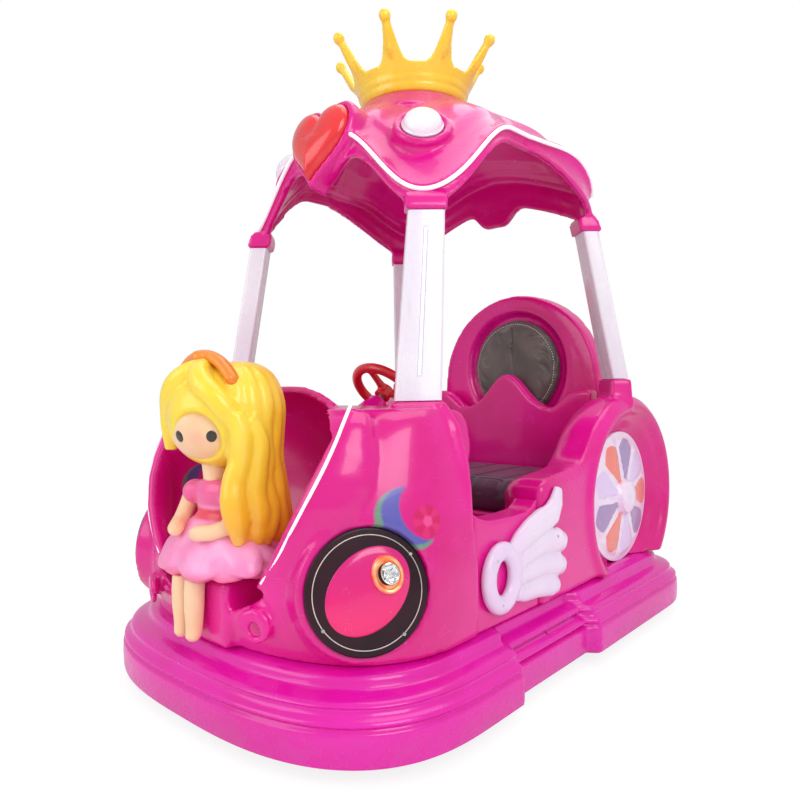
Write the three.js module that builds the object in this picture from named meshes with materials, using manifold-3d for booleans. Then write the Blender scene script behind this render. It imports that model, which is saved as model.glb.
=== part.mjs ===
// Carriage-shaped bumper car: a skirted base on four wheels, a nose with a seated doll, one bench seat,
// four posts and a canopy with a crown. Millimetres; +X forward, +Y to the car's left, +Z up, floor at z = 0.
import * as THREE from 'three';
import { mergeVertices } from 'three/addons/utils/BufferGeometryUtils.js';
import Module from 'manifold-3d';

const wasm = await Module();
wasm.setup();

// ---------------------------------------------------------------- driving dimensions
const carLength = 1800;
const carWidth = 1200;
const gap = 0.3; // between faces that touch on the real car
const pinPlay = 0.5; // round a pin or shaft that turns

// base skirt
const skirtBottom = 40;
const deckTop = 215;
const skirtWall = 22;
const deckThickness = 12;
const flangeInset = 120; // from the skirt's outer face to the deck opening
const stepDepth = 32; // the side recess between the front and rear lobes
const stepFront = 320;
const stepRear = -100;
const stepRamp = 28;
const skirtSplit = 110; // where the front and rear skirt mouldings meet

// running gear
const wheelRadius = 80;
const tyreWidth = 45;
const rimRadius = 52;
const wheelTrack = 810;
const frontAxleX = 380;
const rearAxleX = -480;
const kingpinInset = 60; // from the wheel's middle plane in to the kingpin
const kingpinRadius = 12;
const stubRadius = 10;
const steerArm = 110;
const armZ = 100;
const armThickness = 12;
const railY = 220;
const railSize = 40;
const shaftX = 300;
const shaftRadius = 10;

// body shell
const bodyHalf = 522;
const noseX = 815;
const bodyRearX = 400; // rear edge of the front moulding
const cowlTop = 772;
const shellWall = 14;
const sillTop = 500;
const sillRearX = 100;
const sillWidth = 75;
const quarterOuterY = bodyHalf + 8;
const quarterThickness = 168;
const quarterInnerY = quarterOuterY - quarterThickness;
const archX = -490;
const archZ = 435;
const archRadius = 345;
const rosetteRadius = 220;
const mouthRadius = 285;
const mouthDepth = 60;

// alcove in the nose: an egg-shaped bowl that leans back
const bowlCentre = new THREE.Vector3(700, 0, 555);
const bowlLean = Math.PI / 6;
const bowlDepth = 260;
const bowlHalfWidth = 360;
const bowlHalfHeight = 295;
const bowlWall = 22;

// seat
const seatFrontX = -120;
const seatRearX = -585;
const seatTop = 400;
const cushionTop = 512;
const backrestX = -600;
const backrestThickness = 80;
const backInset = 12; // of the back shell's arch from the quarter's inner face
const backRadius = quarterInnerY - backInset;
const backCentreZ = 824;
const padRadius = 210;
const padCentreZ = backCentreZ + 61;
const padRecess = 30;

// posts and canopy
const frontPostFoot = new THREE.Vector3(450, bodyHalf - 140, 790);
const frontPostHead = new THREE.Vector3(370, 352, 1275);
const rearPostFoot = new THREE.Vector3(-489, quarterOuterY - 61, 837);
const rearPostHead = new THREE.Vector3(-410, 410, 1326);
const postFootWidth = 117;
const postHeadWidth = 96;
const postThickness = 54;
const canopyTop = 1728;
const canopyWall = 14;
const crownFootRadius = 165;
const crownTipRadius = 272;
const crownHeight = 190;
const crownSpikes = 8;
const crownWall = 12;
const ballRadius = 18;

// steering wheel
const wheelCentre = new THREE.Vector3(160, 0, 810);
const wheelTilt = Math.PI / 4;
const wheelRing = 103;
const wheelTube = 12;
const columnRadius = 12;

// doll and its perch
const dollX = 790;
const headRadius = 104;
const perchTop = 372;
const perchFront = 842;
const perchHalf = 115;

const wheelY = wheelTrack / 2;
const kingpinY = wheelY - kingpinInset;
const bodyBottom = deckTop + gap;

// ---------------------------------------------------------------- helpers
const toSolid = (geometry) => {
  const bare = geometry.index ? geometry.toNonIndexed() : geometry.clone();
  bare.deleteAttribute('normal');
  bare.deleteAttribute('uv');
  const merged = mergeVertices(bare, 1e-3);
  return new wasm.Manifold(new wasm.Mesh({
    numProp: 3,
    vertProperties: new Float32Array(merged.attributes.position.array),
    triVerts: new Uint32Array(merged.index.array),
  }));
};

const toGeometry = (solid) => {
  const mesh = solid.getMesh();
  const geometry = new THREE.BufferGeometry();
  geometry.setAttribute('position', new THREE.BufferAttribute(new Float32Array(mesh.vertProperties), 3));
  geometry.setIndex(new THREE.BufferAttribute(new Uint32Array(mesh.triVerts), 1));
  return geometry;
};

const join = (...solids) => solids.reduce((all, one) => all.add(one));
const cut = (solid, ...tools) => tools.reduce((left, tool) => left.subtract(tool), solid);

const box = (x0, x1, y0, y1, z0, z1) => {
  const geometry = new THREE.BoxGeometry(x1 - x0, y1 - y0, z1 - z0);
  geometry.translate((x0 + x1) / 2, (y0 + y1) / 2, (z0 + z1) / 2);
  return toSolid(geometry);
};

// a closed skin over rings of equal point count; the ends are capped, or joined when loop is true
const skin = (rings, loop = false) => {
  const count = rings[0].length;
  const points = rings.flat();
  const faces = [];
  const quad = (a, b, c, d) => faces.push([a, b, c], [a, c, d]);
  const last = loop ? rings.length : rings.length - 1;
  for (let i = 0; i < last; i += 1) {
    const k = (i + 1) % rings.length;
    for (let j = 0; j < count; j += 1) {
      const m = (j + 1) % count;
      quad(i * count + j, i * count + m, k * count + m, k * count + j);
    }
  }
  if (!loop) {
    for (const [row, flip] of [[0, true], [rings.length - 1, false]]) {
      const centre = rings[row].reduce((sum, p) => sum.add(p), new THREE.Vector3()).divideScalar(count);
      const hub = points.push(centre) - 1;
      for (let j = 0; j < count; j += 1) {
        const edge = [row * count + j, row * count + ((j + 1) % count)];
        faces.push(flip ? [edge[1], edge[0], hub] : [edge[0], edge[1], hub]);
      }
    }
  }
  let volume = 0;
  for (const [a, b, c] of faces) volume += points[a].dot(points[b].clone().cross(points[c]));
  const ordered = volume < 0 ? faces.map(([a, b, c]) => [a, c, b]) : faces;
  const geometry = new THREE.BufferGeometry();
  geometry.setAttribute('position', new THREE.Float32BufferAttribute(points.flatMap((p) => [p.x, p.y, p.z]), 3));
  geometry.setIndex(ordered.flat());
  return toSolid(geometry);
};

const extrude = (shape, depth, steps = 12) => new THREE.ExtrudeGeometry(shape, {
  depth, bevelEnabled: false, curveSegments: steps,
});

// an outline in plan, pulled up from z0 to z1
const planPrism = (points, z0, z1) => {
  const geometry = extrude(new THREE.Shape(points), z1 - z0);
  geometry.translate(0, 0, z0);
  return toSolid(geometry);
};

// an outline drawn in side view (x, z), pulled across the car from y0 to y1
const sidePrism = (shape, y0, y1, steps = 12) => {
  const geometry = extrude(shape, y1 - y0, steps);
  geometry.rotateX(Math.PI / 2);
  geometry.translate(0, y1, 0);
  return toSolid(geometry);
};

// an outline drawn in front view (y, z), pulled along the car from x0 to x1
const frontPrism = (shape, x0, x1, steps = 12) => {
  const geometry = extrude(shape, x1 - x0, steps);
  geometry.applyMatrix4(new THREE.Matrix4().makeBasis(
    new THREE.Vector3(0, 1, 0), new THREE.Vector3(0, 0, 1), new THREE.Vector3(1, 0, 0)));
  geometry.translate(x0, 0, 0);
  return toSolid(geometry);
};

// a round bar or cone between two points
const bar = (from, to, r0, r1 = r0, sides = 12) => {
  const way = to.clone().sub(from);
  const geometry = new THREE.CylinderGeometry(r1, r0, way.length(), sides);
  geometry.translate(0, way.length() / 2, 0);
  geometry.applyQuaternion(new THREE.Quaternion().setFromUnitVectors(
    new THREE.Vector3(0, 1, 0), way.normalize()));
  geometry.translate(from.x, from.y, from.z);
  return toSolid(geometry);
};
const vec = (x, y, z) => new THREE.Vector3(x, y, z);
const upright = (x, y, z0, z1, r, sides = 12) => bar(vec(x, y, z0), vec(x, y, z1), r, r, sides);
const across = (x, z, y0, y1, r, sides = 12) => bar(vec(x, y0, z), vec(x, y1, z), r, r, sides);

// a turned profile of [radius, height] pairs, its axis laid along a direction from a point
const turned = (profile, origin, direction, sides = 18, squash = 1) => {
  const geometry = new THREE.LatheGeometry(profile.map(([r, h]) => new THREE.Vector2(r, h)), sides);
  geometry.scale(squash, 1, 1);
  geometry.applyQuaternion(new THREE.Quaternion().setFromUnitVectors(
    new THREE.Vector3(0, 1, 0), direction.clone().normalize()));
  geometry.translate(origin.x, origin.y, origin.z);
  return toSolid(geometry);
};

const ball = (centre, radius, stretch = [1, 1, 1], detail = 14) => {
  const geometry = new THREE.SphereGeometry(radius, detail, Math.round(detail * 0.6));
  geometry.scale(...stretch);
  geometry.translate(centre.x, centre.y, centre.z);
  return toSolid(geometry);
};

const mirrored = (solid) => {
  const geometry = toGeometry(solid);
  geometry.scale(1, -1, 1);
  const index = geometry.index.array;
  for (let i = 0; i < index.length; i += 3) [index[i], index[i + 1]] = [index[i + 1], index[i]];
  return toSolid(geometry);
};

const paint = {
  pink: { color: 0xd8148a, roughness: 0.3, metalness: 0 },
  rosePad: { color: 0x5c3a58, roughness: 0.75, metalness: 0 },
  greyPad: { color: 0x6b675c, roughness: 0.6, metalness: 0 },
  yellow: { color: 0xf9c423, roughness: 0.35, metalness: 0 },
  red: { color: 0xe02a2a, roughness: 0.3, metalness: 0 },
  white: { color: 0xece8f2, roughness: 0.35, metalness: 0 },
  lamp: { color: 0xf2ecf8, roughness: 0.2, metalness: 0 },
  black: { color: 0x1c1016, roughness: 0.35, metalness: 0 },
  skin: { color: 0xf6cf9f, roughness: 0.5, metalness: 0 },
  dress: { color: 0xf07fc0, roughness: 0.45, metalness: 0 },
  steel: { color: 0x3a3c40, roughness: 0.5, metalness: 0.8 },
  zinc: { color: 0xa9adb2, roughness: 0.4, metalness: 0.9 },
  rubber: { color: 0x1b1b1d, roughness: 0.85, metalness: 0 },
};

const car = new THREE.Group();
const add = (name, solid, look) => {
  const mesh = new THREE.Mesh(toGeometry(solid), new THREE.MeshStandardMaterial(paint[look]));
  mesh.name = name;
  car.add(mesh);
};
const addPair = (name, solid, look) => {
  add(`${name}_left`, solid, look);
  add(`${name}_right`, mirrored(solid), look);
};

// ---------------------------------------------------------------- base skirt
const power = (value, exponent) => Math.sign(value) * Math.abs(value) ** exponent;

// one quarter of a rounded end: from the side at x = start to the tip at x = tip
const roundedEnd = (start, tip, half, exponent, steps) => Array.from({ length: steps + 1 }, (_, i) => {
  const t = (i / steps) * (Math.PI / 2);
  return [start + (tip - start) * power(Math.sin(t), 2 / exponent), half * power(Math.cos(t), 2 / exponent)];
});

const bothSides = (left) => {
  const right = left.slice(1, -1).reverse().map(([x, y]) => [x, -y]);
  return [...left, ...right];
};

// the base's outline at an inset from its outermost face
const frontEndX = 450;
const rearEndX = -580;
const skirtOutline = (inset) => {
  const half = carWidth / 2 - inset;
  const front = roundedEnd(frontEndX, carLength / 2 - inset, half, 2.83, 10).reverse();
  const rear = roundedEnd(rearEndX, -carLength / 2 + inset, half, 3.5, 10);
  const step = [[stepFront, 0], [stepFront - stepRamp, stepDepth], [stepRear + stepRamp, stepDepth], [stepRear, 0]];
  return bothSides([...front, ...step.map(([x, d]) => [x, half - d]), ...rear]);
};

const skirtSection = [
  [6, skirtBottom], [0, 50], [0, 122], [6, 127], [2, 133], [14, 165], [36, 182], [56, 185],
  [66, deckTop], [flangeInset, deckTop], [flangeInset, deckTop - deckThickness],
  [78, deckTop - deckThickness], [62, 170], [skirtWall + 6, 150], [skirtWall, 120],
  [skirtWall, skirtBottom],
];
const outlineRing = (inset, z) => skirtOutline(inset).map(([x, y]) => vec(x, y, z));
const skirt = skin(skirtSection.map(([inset, z]) => outlineRing(inset, z)), true);
const beyond = carLength;
add('bumper_front', skirt.intersect(box(skirtSplit + gap / 2, beyond, -beyond, beyond, 0, 400)), 'pink');
add('bumper_rear', skirt.intersect(box(-beyond, skirtSplit - gap / 2, -beyond, beyond, 0, 400)), 'pink');

const shaftHole = upright(shaftX, 0, 0, 400, shaftRadius + pinPlay);
const deck = planPrism(skirtOutline(flangeInset + gap).map(([x, y]) => new THREE.Vector2(x, y)),
  deckTop - deckThickness, deckTop);
add('floor_deck', cut(deck, shaftHole), 'pink');

// ---------------------------------------------------------------- chassis
const railTop = deckTop - deckThickness - gap;
const railBottom = railTop - railSize;
const railFrontX = 660;
const railRearX = -700;
const crossMember = (x) => box(x - railSize / 2, x + railSize / 2, -railY, railY, railBottom, railTop);
const rail = (y) => box(railRearX, railFrontX, y - railSize / 2, y + railSize / 2, railBottom, railTop);
// outriggers reach out to the skirt's flange
const outriggerReach = carWidth / 2 - flangeInset + 30;
const outrigger = (x) => box(x - railSize / 2, x + railSize / 2, -outriggerReach, outriggerReach,
  railBottom, railTop);
add('chassis_frame', join(rail(railY), rail(-railY), crossMember(railFrontX - railSize / 2), crossMember(180),
  crossMember(railRearX + railSize / 2), outrigger(520), outrigger(-260), outrigger(-620)), 'steel');

const axleZ = wheelRadius;
const stubEnd = wheelY + tyreWidth / 2 + 6;
const beamTop = railBottom - gap;
const beamHalf = 18;
const pinBottom = 40;
const kingpin = (y) => join(upright(frontAxleX, y, pinBottom, beamTop, kingpinRadius),
  upright(frontAxleX, y, pinBottom, pinBottom + 8, kingpinRadius + 8));
add('front_axle', join(
  box(frontAxleX - beamHalf, frontAxleX + beamHalf, -kingpinY - beamHalf, kingpinY + beamHalf, beamTop - 36, beamTop),
  kingpin(kingpinY), kingpin(-kingpinY)), 'steel');

const rearPad = (y) => box(rearAxleX - 25, rearAxleX + 25, y - 20, y + 20, axleZ, beamTop);
const axleShoulder = wheelY - tyreWidth / 2 - 4;
add('rear_axle', join(across(rearAxleX, axleZ, -axleShoulder, axleShoulder, 16),
  across(rearAxleX, axleZ, -stubEnd, stubEnd, stubRadius), rearPad(railY), rearPad(-railY)), 'steel');

const motorRear = rearAxleX + 16 + gap;
add('drive_motor', box(motorRear, motorRear + 170, -80, 80, 60, railBottom - gap), 'steel');

// ---------------------------------------------------------------- steering gear
const sleeveOuter = kingpinRadius + 12;
const sleeveBottom = pinBottom + 8 + pinPlay;
const sleeveTop = beamTop - 36 - pinPlay;
const armEndX = frontAxleX - steerArm;
const rodPin = 6;
const rodPlay = 0.5;
const knuckle = cut(
  join(upright(frontAxleX, kingpinY, sleeveBottom, sleeveTop, sleeveOuter),
    across(frontAxleX, axleZ, kingpinY + kingpinRadius + 6, stubEnd, stubRadius),
    box(armEndX, frontAxleX, kingpinY - 12, kingpinY + 12, armZ, armZ + armThickness),
    upright(armEndX, kingpinY, armZ, armZ + armThickness, 16)),
  upright(frontAxleX, kingpinY, 0, 300, kingpinRadius + pinPlay),
  upright(armEndX, kingpinY, 0, 300, rodPin + rodPlay));
addPair('knuckle', knuckle, 'zinc');

const shaftTop = 650;
const dropArmX = shaftX - steerArm;
const dropArm = cut(
  join(upright(shaftX, 0, armZ, shaftTop, shaftRadius), upright(shaftX, 0, armZ, armZ + armThickness, 18),
    box(dropArmX, shaftX, -12, 12, armZ, armZ + armThickness),
    upright(dropArmX, 0, armZ, armZ + armThickness, 16)),
  upright(dropArmX, 0, 0, 300, rodPin + rodPlay));
// a collar above the deck carries the shaft
const shaftCollar = upright(shaftX, 0, deckTop + gap, deckTop + 14, 20);
add('steering_shaft', join(dropArm, shaftCollar), 'zinc');

const rodTop = armZ - gap;
const rodDepth = 12;
const rodBottom = rodTop - rodDepth;
const rodClear = 5; // between the rod's bar and whatever swings above it
const barTop = rodTop - rodClear;
const rodEnd = (x, y) => join(upright(x, y, rodBottom, rodTop, 14),
  upright(x, y, rodBottom, armZ + armThickness + 3, rodPin));
add('track_rod', join(
  box(armEndX - 8, armEndX + 8, -kingpinY, kingpinY, barTop - rodDepth, barTop),
  box(dropArmX, armEndX, -8, 8, barTop - rodDepth, barTop),
  rodEnd(armEndX, kingpinY), rodEnd(armEndX, -kingpinY), rodEnd(dropArmX, 0)), 'zinc');

// ---------------------------------------------------------------- wheels
const halfTyre = tyreWidth / 2;
const hubBore = stubRadius + pinPlay;
const wheelSides = 24;
const rimProfile = [
  [hubBore, -halfTyre + 1], [22, -halfTyre + 1], [28, -8], [rimRadius - 8, -8], [rimRadius, -halfTyre + 3],
  [rimRadius, halfTyre - 3], [rimRadius - 8, 8], [28, 8], [22, halfTyre - 1], [hubBore, halfTyre - 1],
  [hubBore, -halfTyre + 1],
];
const treadIn = rimRadius + gap;
const tyreProfile = [
  [treadIn, -halfTyre], [wheelRadius - 7, -halfTyre], [wheelRadius, 7 - halfTyre],
  [wheelRadius, halfTyre - 7], [wheelRadius - 7, halfTyre], [treadIn, halfTyre], [treadIn, -halfTyre],
];
for (const [end, x] of [['front', frontAxleX], ['rear', rearAxleX]]) {
  for (const [side, sign] of [['left', 1], ['right', -1]]) {
    const middle = vec(x, sign * wheelY, axleZ);
    add(`${end}_rim_${side}`, turned(rimProfile, middle, vec(0, 1, 0), wheelSides), 'zinc');
    add(`${end}_tyre_${side}`, turned(tyreProfile, middle, vec(0, 1, 0), wheelSides), 'rubber');
  }
}

// ---------------------------------------------------------------- front moulding
// half-width and nose position of the front moulding at each height
const frontLevels = [
  [bodyBottom, noseX, bodyHalf], [300, noseX + 22, bodyHalf + 6], [380, noseX + 24, bodyHalf + 6],
  [460, noseX + 10, bodyHalf - 2], [580, noseX - 32, bodyHalf - 18], [690, noseX - 90, bodyHalf - 44],
  [750, noseX - 145, bodyHalf - 64], [cowlTop, noseX - 195, bodyHalf - 82],
];
const frontRing = (z, nose, half, rearX) => bothSides([
  ...roundedEnd(rearX + 60, nose, half, 2.5, 8).reverse(), [rearX, half], [rearX, 0]])
  .map(([x, y]) => vec(x, y, z));
const frontOuter = skin(frontLevels.map(([z, nose, half]) => frontRing(z, nose, half, bodyRearX)));
const frontInner = skin(frontLevels.map(([z, nose, half], i) => {
  const height = i === 0 ? z - 50 : z - shellWall;
  return frontRing(height, nose - shellWall, half - shellWall, bodyRearX - 80);
}));

const bowl = (grow) => {
  const geometry = new THREE.SphereGeometry(1, 22, 12);
  geometry.scale(bowlDepth + grow, bowlHalfWidth + grow, bowlHalfHeight + grow);
  geometry.rotateY(-bowlLean);
  geometry.translate(bowlCentre.x, bowlCentre.y, bowlCentre.z);
  return toSolid(geometry);
};
// everything behind the plane of the alcove's rim
const rimForward = 12;
const behindRim = (() => {
  const geometry = new THREE.BoxGeometry(1600, 1600, 1600);
  geometry.translate(rimForward - 800, 0, 0);
  geometry.rotateY(-bowlLean);
  geometry.translate(bowlCentre.x, bowlCentre.y, bowlCentre.z);
  return toSolid(geometry);
})();
const bowlShell = bowl(bowlWall);
const rimHood = bowlShell.intersect(behindRim).intersect(box(bodyRearX, beyond, -beyond, beyond, 430, 1200));

// raised pods behind the headlamps
const lampCentre = vec(672, bodyHalf - 120, 375);
const lampNormal = vec(Math.cos(Math.PI / 3), Math.sin(Math.PI / 3), 0.12).normalize();
const lampRadius = 140;
const podReach = 36;
const onLamp = (forward) => lampCentre.clone().addScaledVector(lampNormal, forward);
const lampPod = bar(onLamp(-130), onLamp(podReach), lampRadius + 40, lampRadius + 12, 28);
const lampRoom = bar(onLamp(podReach), onLamp(podReach + 120), lampRadius + 2, lampRadius + 2, 28);

// the feet of the posts are collars on the mouldings
const postRing = (at, width, thick, facing) => {
  const out = vec(Math.cos(facing), Math.sin(facing), 0);
  const along = vec(-out.y, out.x, 0);
  return [[1, 1], [-1, 1], [-1, -1], [1, -1]].map(([a, b]) => at.clone()
    .addScaledVector(along, a * width / 2).addScaledVector(out, b * thick / 2));
};
const postSolid = (foot, head, facing) => skin([
  postRing(foot.clone().add(vec(0, 0, gap)), postFootWidth, postThickness, facing),
  postRing(head.clone().add(vec(0, 0, -gap)), postHeadWidth, postThickness, facing)]);
const collar = (at, down, width, facing) => {
  const grow = 14;
  const low = at.clone().add(vec(0, 0, -down));
  return skin([postRing(low, width + grow + 16, postThickness + grow + 12, facing),
    postRing(at, width + grow, postThickness + grow, facing)]);
};
const frontFacing = Math.PI / 4;
const rearFacing = 3 * Math.PI / 4;

const frontHollow = cut(frontInner.intersect(box(bodyRearX - 90, 640, -beyond, beyond, 0, cowlTop - shellWall)),
  bowlShell);
const footCollar = collar(frontPostFoot, 40, postFootWidth, frontFacing);
const behindFront = box(-beyond, bodyRearX, -beyond, beyond, 0, 3000);
const perch = box(700, perchFront, -perchHalf, perchHalf, bodyBottom, perchTop);
const nose = cut(
  join(cut(join(frontOuter, rimHood, lampPod, mirrored(lampPod)), frontHollow), footCollar, mirrored(footCollar)),
  bowl(0), lampRoom, mirrored(lampRoom), behindFront, box(-beyond, beyond, -beyond, beyond, -100, bodyBottom));
add('front_body', join(nose, perch), 'pink');

// ---------------------------------------------------------------- dash and steering wheel
const columnDown = vec(Math.sin(wheelTilt), 0, -Math.cos(wheelTilt));
const onColumn = (distance) => wheelCentre.clone().addScaledVector(columnDown, distance);
const dashFront = bodyRearX - gap;
const dashInset = 142; // from the nose's widest half
const dashHalf = bodyHalf - dashInset;
const dashSkin = (grow) => [
  [dashFront + grow, 765 - grow], [300, 765 - grow], [258 + grow * 0.5, 752 - grow], [232 + grow, 715],
  [222 + grow, 640], [236 + grow, 600]];
const shapeOf = (points) => new THREE.Shape(points.map(([x, y]) => new THREE.Vector2(x, y)));
const dashOuter = [...dashSkin(0), [dashFront, 600]];
const dashInner = [...dashSkin(shellWall), [236 + shellWall, 500], [dashFront + shellWall, 500]];
const dashBox = sidePrism(shapeOf(dashOuter), -dashHalf, dashHalf);
const dashRoom = sidePrism(shapeOf(dashInner), -dashHalf + shellWall, dashHalf - shellWall);
const fairing = bar(onColumn(42), onColumn(150), 30, 62);
const columnHole = bar(onColumn(-60), onColumn(420), columnRadius + pinPlay);
add('dash_panel', cut(join(cut(dashBox, dashRoom), fairing), columnHole), 'pink');

const ring = new THREE.TorusGeometry(wheelRing, wheelTube, 8, 24);
ring.applyQuaternion(new THREE.Quaternion().setFromUnitVectors(vec(0, 0, 1), columnDown));
ring.translate(wheelCentre.x, wheelCentre.y, wheelCentre.z);
const wheelUp = vec(Math.cos(wheelTilt), 0, Math.sin(wheelTilt));
const spoke = (turn) => {
  const way = wheelUp.clone().multiplyScalar(Math.cos(turn)).addScaledVector(vec(0, 1, 0), Math.sin(turn));
  return bar(wheelCentre, wheelCentre.clone().addScaledVector(way, wheelRing), 10, 8, 10);
};
const hubBottom = 26;
add('steering_wheel', join(toSolid(ring), bar(onColumn(-14), onColumn(hubBottom), 26, 24),
  spoke(0), spoke(2 * Math.PI / 3), spoke(-2 * Math.PI / 3)), 'red');
add('steering_column', bar(onColumn(hubBottom + gap), onColumn(190), columnRadius), 'zinc');

// ---------------------------------------------------------------- sills, rear quarters and tail
const sillFrontX = bodyRearX - gap;
const sillOuter = bodyHalf - 10;
const sill = cut(box(sillRearX + gap, sillFrontX, sillOuter - sillWidth, sillOuter, bodyBottom, sillTop),
  box(sillRearX - 50, sillFrontX + 50, sillOuter - sillWidth + shellWall, sillOuter - shellWall, 0, sillTop - shellWall));
addPair('side_sill', sill, 'pink');

const archPoint = (angle, radius) => [archX + radius * Math.cos(angle), archZ + radius * Math.sin(angle)];
const footAngle = Math.asin((bodyBottom - archZ) / archRadius);
const archSteps = 16;
const rearArc = Array.from({ length: archSteps + 1 }, (_, i) => archPoint(
  Math.PI / 2 + (Math.PI / 2 - footAngle) * (i / archSteps), archRadius));
const armTop = sillTop + 66;
const archFront = archX + archRadius;
const frontAngle = Math.PI * 0.22;
const frontArc = Array.from({ length: archSteps / 2 }, (_, i) => archPoint(
  frontAngle + (Math.PI / 2 - frontAngle) * (i / (archSteps / 2)), archRadius));
const quarterSide = [[sillRearX, bodyBottom], [sillRearX, sillTop + 20], [sillRearX - 8, sillTop + 44],
  [sillRearX - 35, armTop - 4], [sillRearX - 95, armTop + 1], [archFront + 65, armTop + 7], [archFront + 10, armTop + 16],
  [archFront - 30, armTop + 37], [archFront - 55, armTop + 61], ...frontArc, ...rearArc];
const quarterSolid = sidePrism(shapeOf(quarterSide), quarterInnerY, quarterOuterY);
const mouthFloor = quarterOuterY - mouthDepth;
const mouth = turned([[0, 0], [rosetteRadius + 3, 0], [mouthRadius, mouthDepth], [mouthRadius, mouthDepth + 50],
  [0, mouthDepth + 50]], vec(archX, mouthFloor, archZ), vec(0, 1, 0), 28);
const rearCollar = collar(rearPostFoot, 90, postFootWidth, rearFacing);
const aboveDeck = box(-beyond, beyond, -beyond, beyond, bodyBottom, 3000);
addPair('rear_quarter', cut(join(quarterSolid, rearCollar), mouth).intersect(aboveDeck), 'pink');

const hubDome = 45;
addPair('rosette', turned([[0, 0], [rosetteRadius, 0], [rosetteRadius, 8], [70, 26], [44, 34], [26, hubDome], [0, hubDome + 4]],
  vec(archX, mouthFloor + gap, archZ), vec(0, 1, 0), 24), 'white');

const tailHalf = quarterInnerY - gap;
const tailFront = backrestX - backrestThickness - gap;
const tailInset = 65; // from the skirt's rear face
const tailReach = tailFront - (tailInset - carLength / 2);
const tailSide = [[0, bodyBottom], [0, 730], [0.32, 705], [0.68, 640], [0.9, 540], [1, 430], [0.97, 320], [0.84, bodyBottom]]
  .map(([share, z]) => [tailFront - tailReach * share, z]);
add('tail_panel', sidePrism(shapeOf(tailSide), -tailHalf, tailHalf), 'pink');

// ---------------------------------------------------------------- seat
const seatHalf = quarterInnerY - 2 * gap;
const waveTop = (y) => {
  const s = Math.abs(y / seatHalf);
  const rise = Math.min(1, Math.max(0, (s - 0.55) / 0.36));
  return 728 + 133 * Math.exp(-((s / 0.28) ** 2)) + 70 * rise * rise * (3 - 2 * rise);
};
const waveSteps = 28;
const waveLine = Array.from({ length: waveSteps + 1 }, (_, i) => {
  const y = seatHalf - (2 * seatHalf * i) / waveSteps;
  return [y, waveTop(y)];
});
const lowerBack = frontPrism(shapeOf([[-seatHalf, seatTop - 20], [seatHalf, seatTop - 20], ...waveLine]),
  seatRearX, seatRearX + 62);
const seatShell = cut(box(seatRearX, seatFrontX, -seatHalf, seatHalf, bodyBottom, seatTop),
  box(seatRearX + shellWall, seatFrontX - shellWall, -seatHalf + shellWall, seatHalf - shellWall, 0, seatTop - shellWall));
add('seat_tub', join(seatShell, lowerBack), 'pink');

const batteryFoot = deckTop + gap;
const batteryHeight = 155;
const batteryHalf = quarterInnerY - 102;
add('battery_block', box(-480, -200, -batteryHalf, batteryHalf, batteryFoot, batteryFoot + batteryHeight), 'steel');

const roundedBox = (x0, x1, y0, y1, z0, z1, radius) => {
  const shape = new THREE.Shape();
  shape.moveTo(x0 + radius, y0);
  shape.lineTo(x1 - radius, y0);
  shape.absarc(x1 - radius, y0 + radius, radius, -Math.PI / 2, 0);
  shape.absarc(x1 - radius, y1 - radius, radius, 0, Math.PI / 2);
  shape.absarc(x0 + radius, y1 - radius, radius, Math.PI / 2, Math.PI);
  shape.absarc(x0 + radius, y0 + radius, radius, Math.PI, 3 * Math.PI / 2);
  const geometry = extrude(shape, z1 - z0, 5);
  geometry.translate(0, 0, z0);
  return toSolid(geometry);
};
const cushionInset = 10;
add('seat_cushion', roundedBox(seatRearX + 62 + gap, seatFrontX + 8, -seatHalf + cushionInset, seatHalf - cushionInset,
  seatTop + gap, cushionTop, 40), 'rosePad');

const backShape = new THREE.Shape();
backShape.moveTo(-seatHalf, bodyBottom);
backShape.lineTo(seatHalf, bodyBottom);
backShape.lineTo(seatHalf, backCentreZ - 60);
backShape.absarc(0, backCentreZ, backRadius, 0, Math.PI);
backShape.lineTo(-seatHalf, backCentreZ - 60);
const backPlate = frontPrism(backShape, backrestX - backrestThickness, backrestX, 24);
const padSeat = bar(vec(backrestX - padRecess, 0, padCentreZ), vec(backrestX + 40, 0, padCentreZ), padRadius, padRadius, 40);
add('seat_back_shell', cut(backPlate, padSeat), 'pink');
const padBack = backrestX - padRecess + gap;
const padFront = seatRearX - gap;
const padEdge = 14;
add('seat_back_pad', turned([[0, 0], [padRadius - 2, 0], [padRadius - 2, padFront - padBack - padEdge],
  [padRadius - padEdge, padFront - padBack], [0, padFront - padBack]], vec(padBack, 0, padCentreZ), vec(1, 0, 0), 40), 'greyPad');

// ---------------------------------------------------------------- posts and canopy
addPair('front_post', postSolid(frontPostFoot, frontPostHead, frontFacing), 'white');
addPair('rear_post', postSolid(rearPostFoot, rearPostHead, rearFacing), 'white');

// plan of the canopy's edge: a rounded square whose corners stand over the posts
const edgeHalfFront = 402;
const edgeHalfRear = 480;
const edgeHalfSide = 432;
const edgeFlare = 50;
const archTop = 1500;
const archReach = 290;
const rearReach = 420;
const shoulderRise = 52;
const rearRise = 60; // further rise of the shoulder towards the rear
const riseRun = 300;
const frontLobe = 100;
const rearLobe = 75;
const lobeHalf = 95;
const eased = (share) => (1 - Math.cos(Math.PI * Math.min(1, share))) / 2;
const edgeRadius = (angle) => {
  const back = Math.max(0, -Math.cos(angle));
  const half = edgeHalfFront + (edgeHalfRear - edgeHalfFront) * Math.min(1, back * 3);
  const side = edgeHalfSide + edgeFlare * back ** 0.7;
  const n = 5.2;
  return (Math.abs(Math.cos(angle) / half) ** n + Math.abs(Math.sin(angle) / side) ** n) ** (-1 / n);
};
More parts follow.
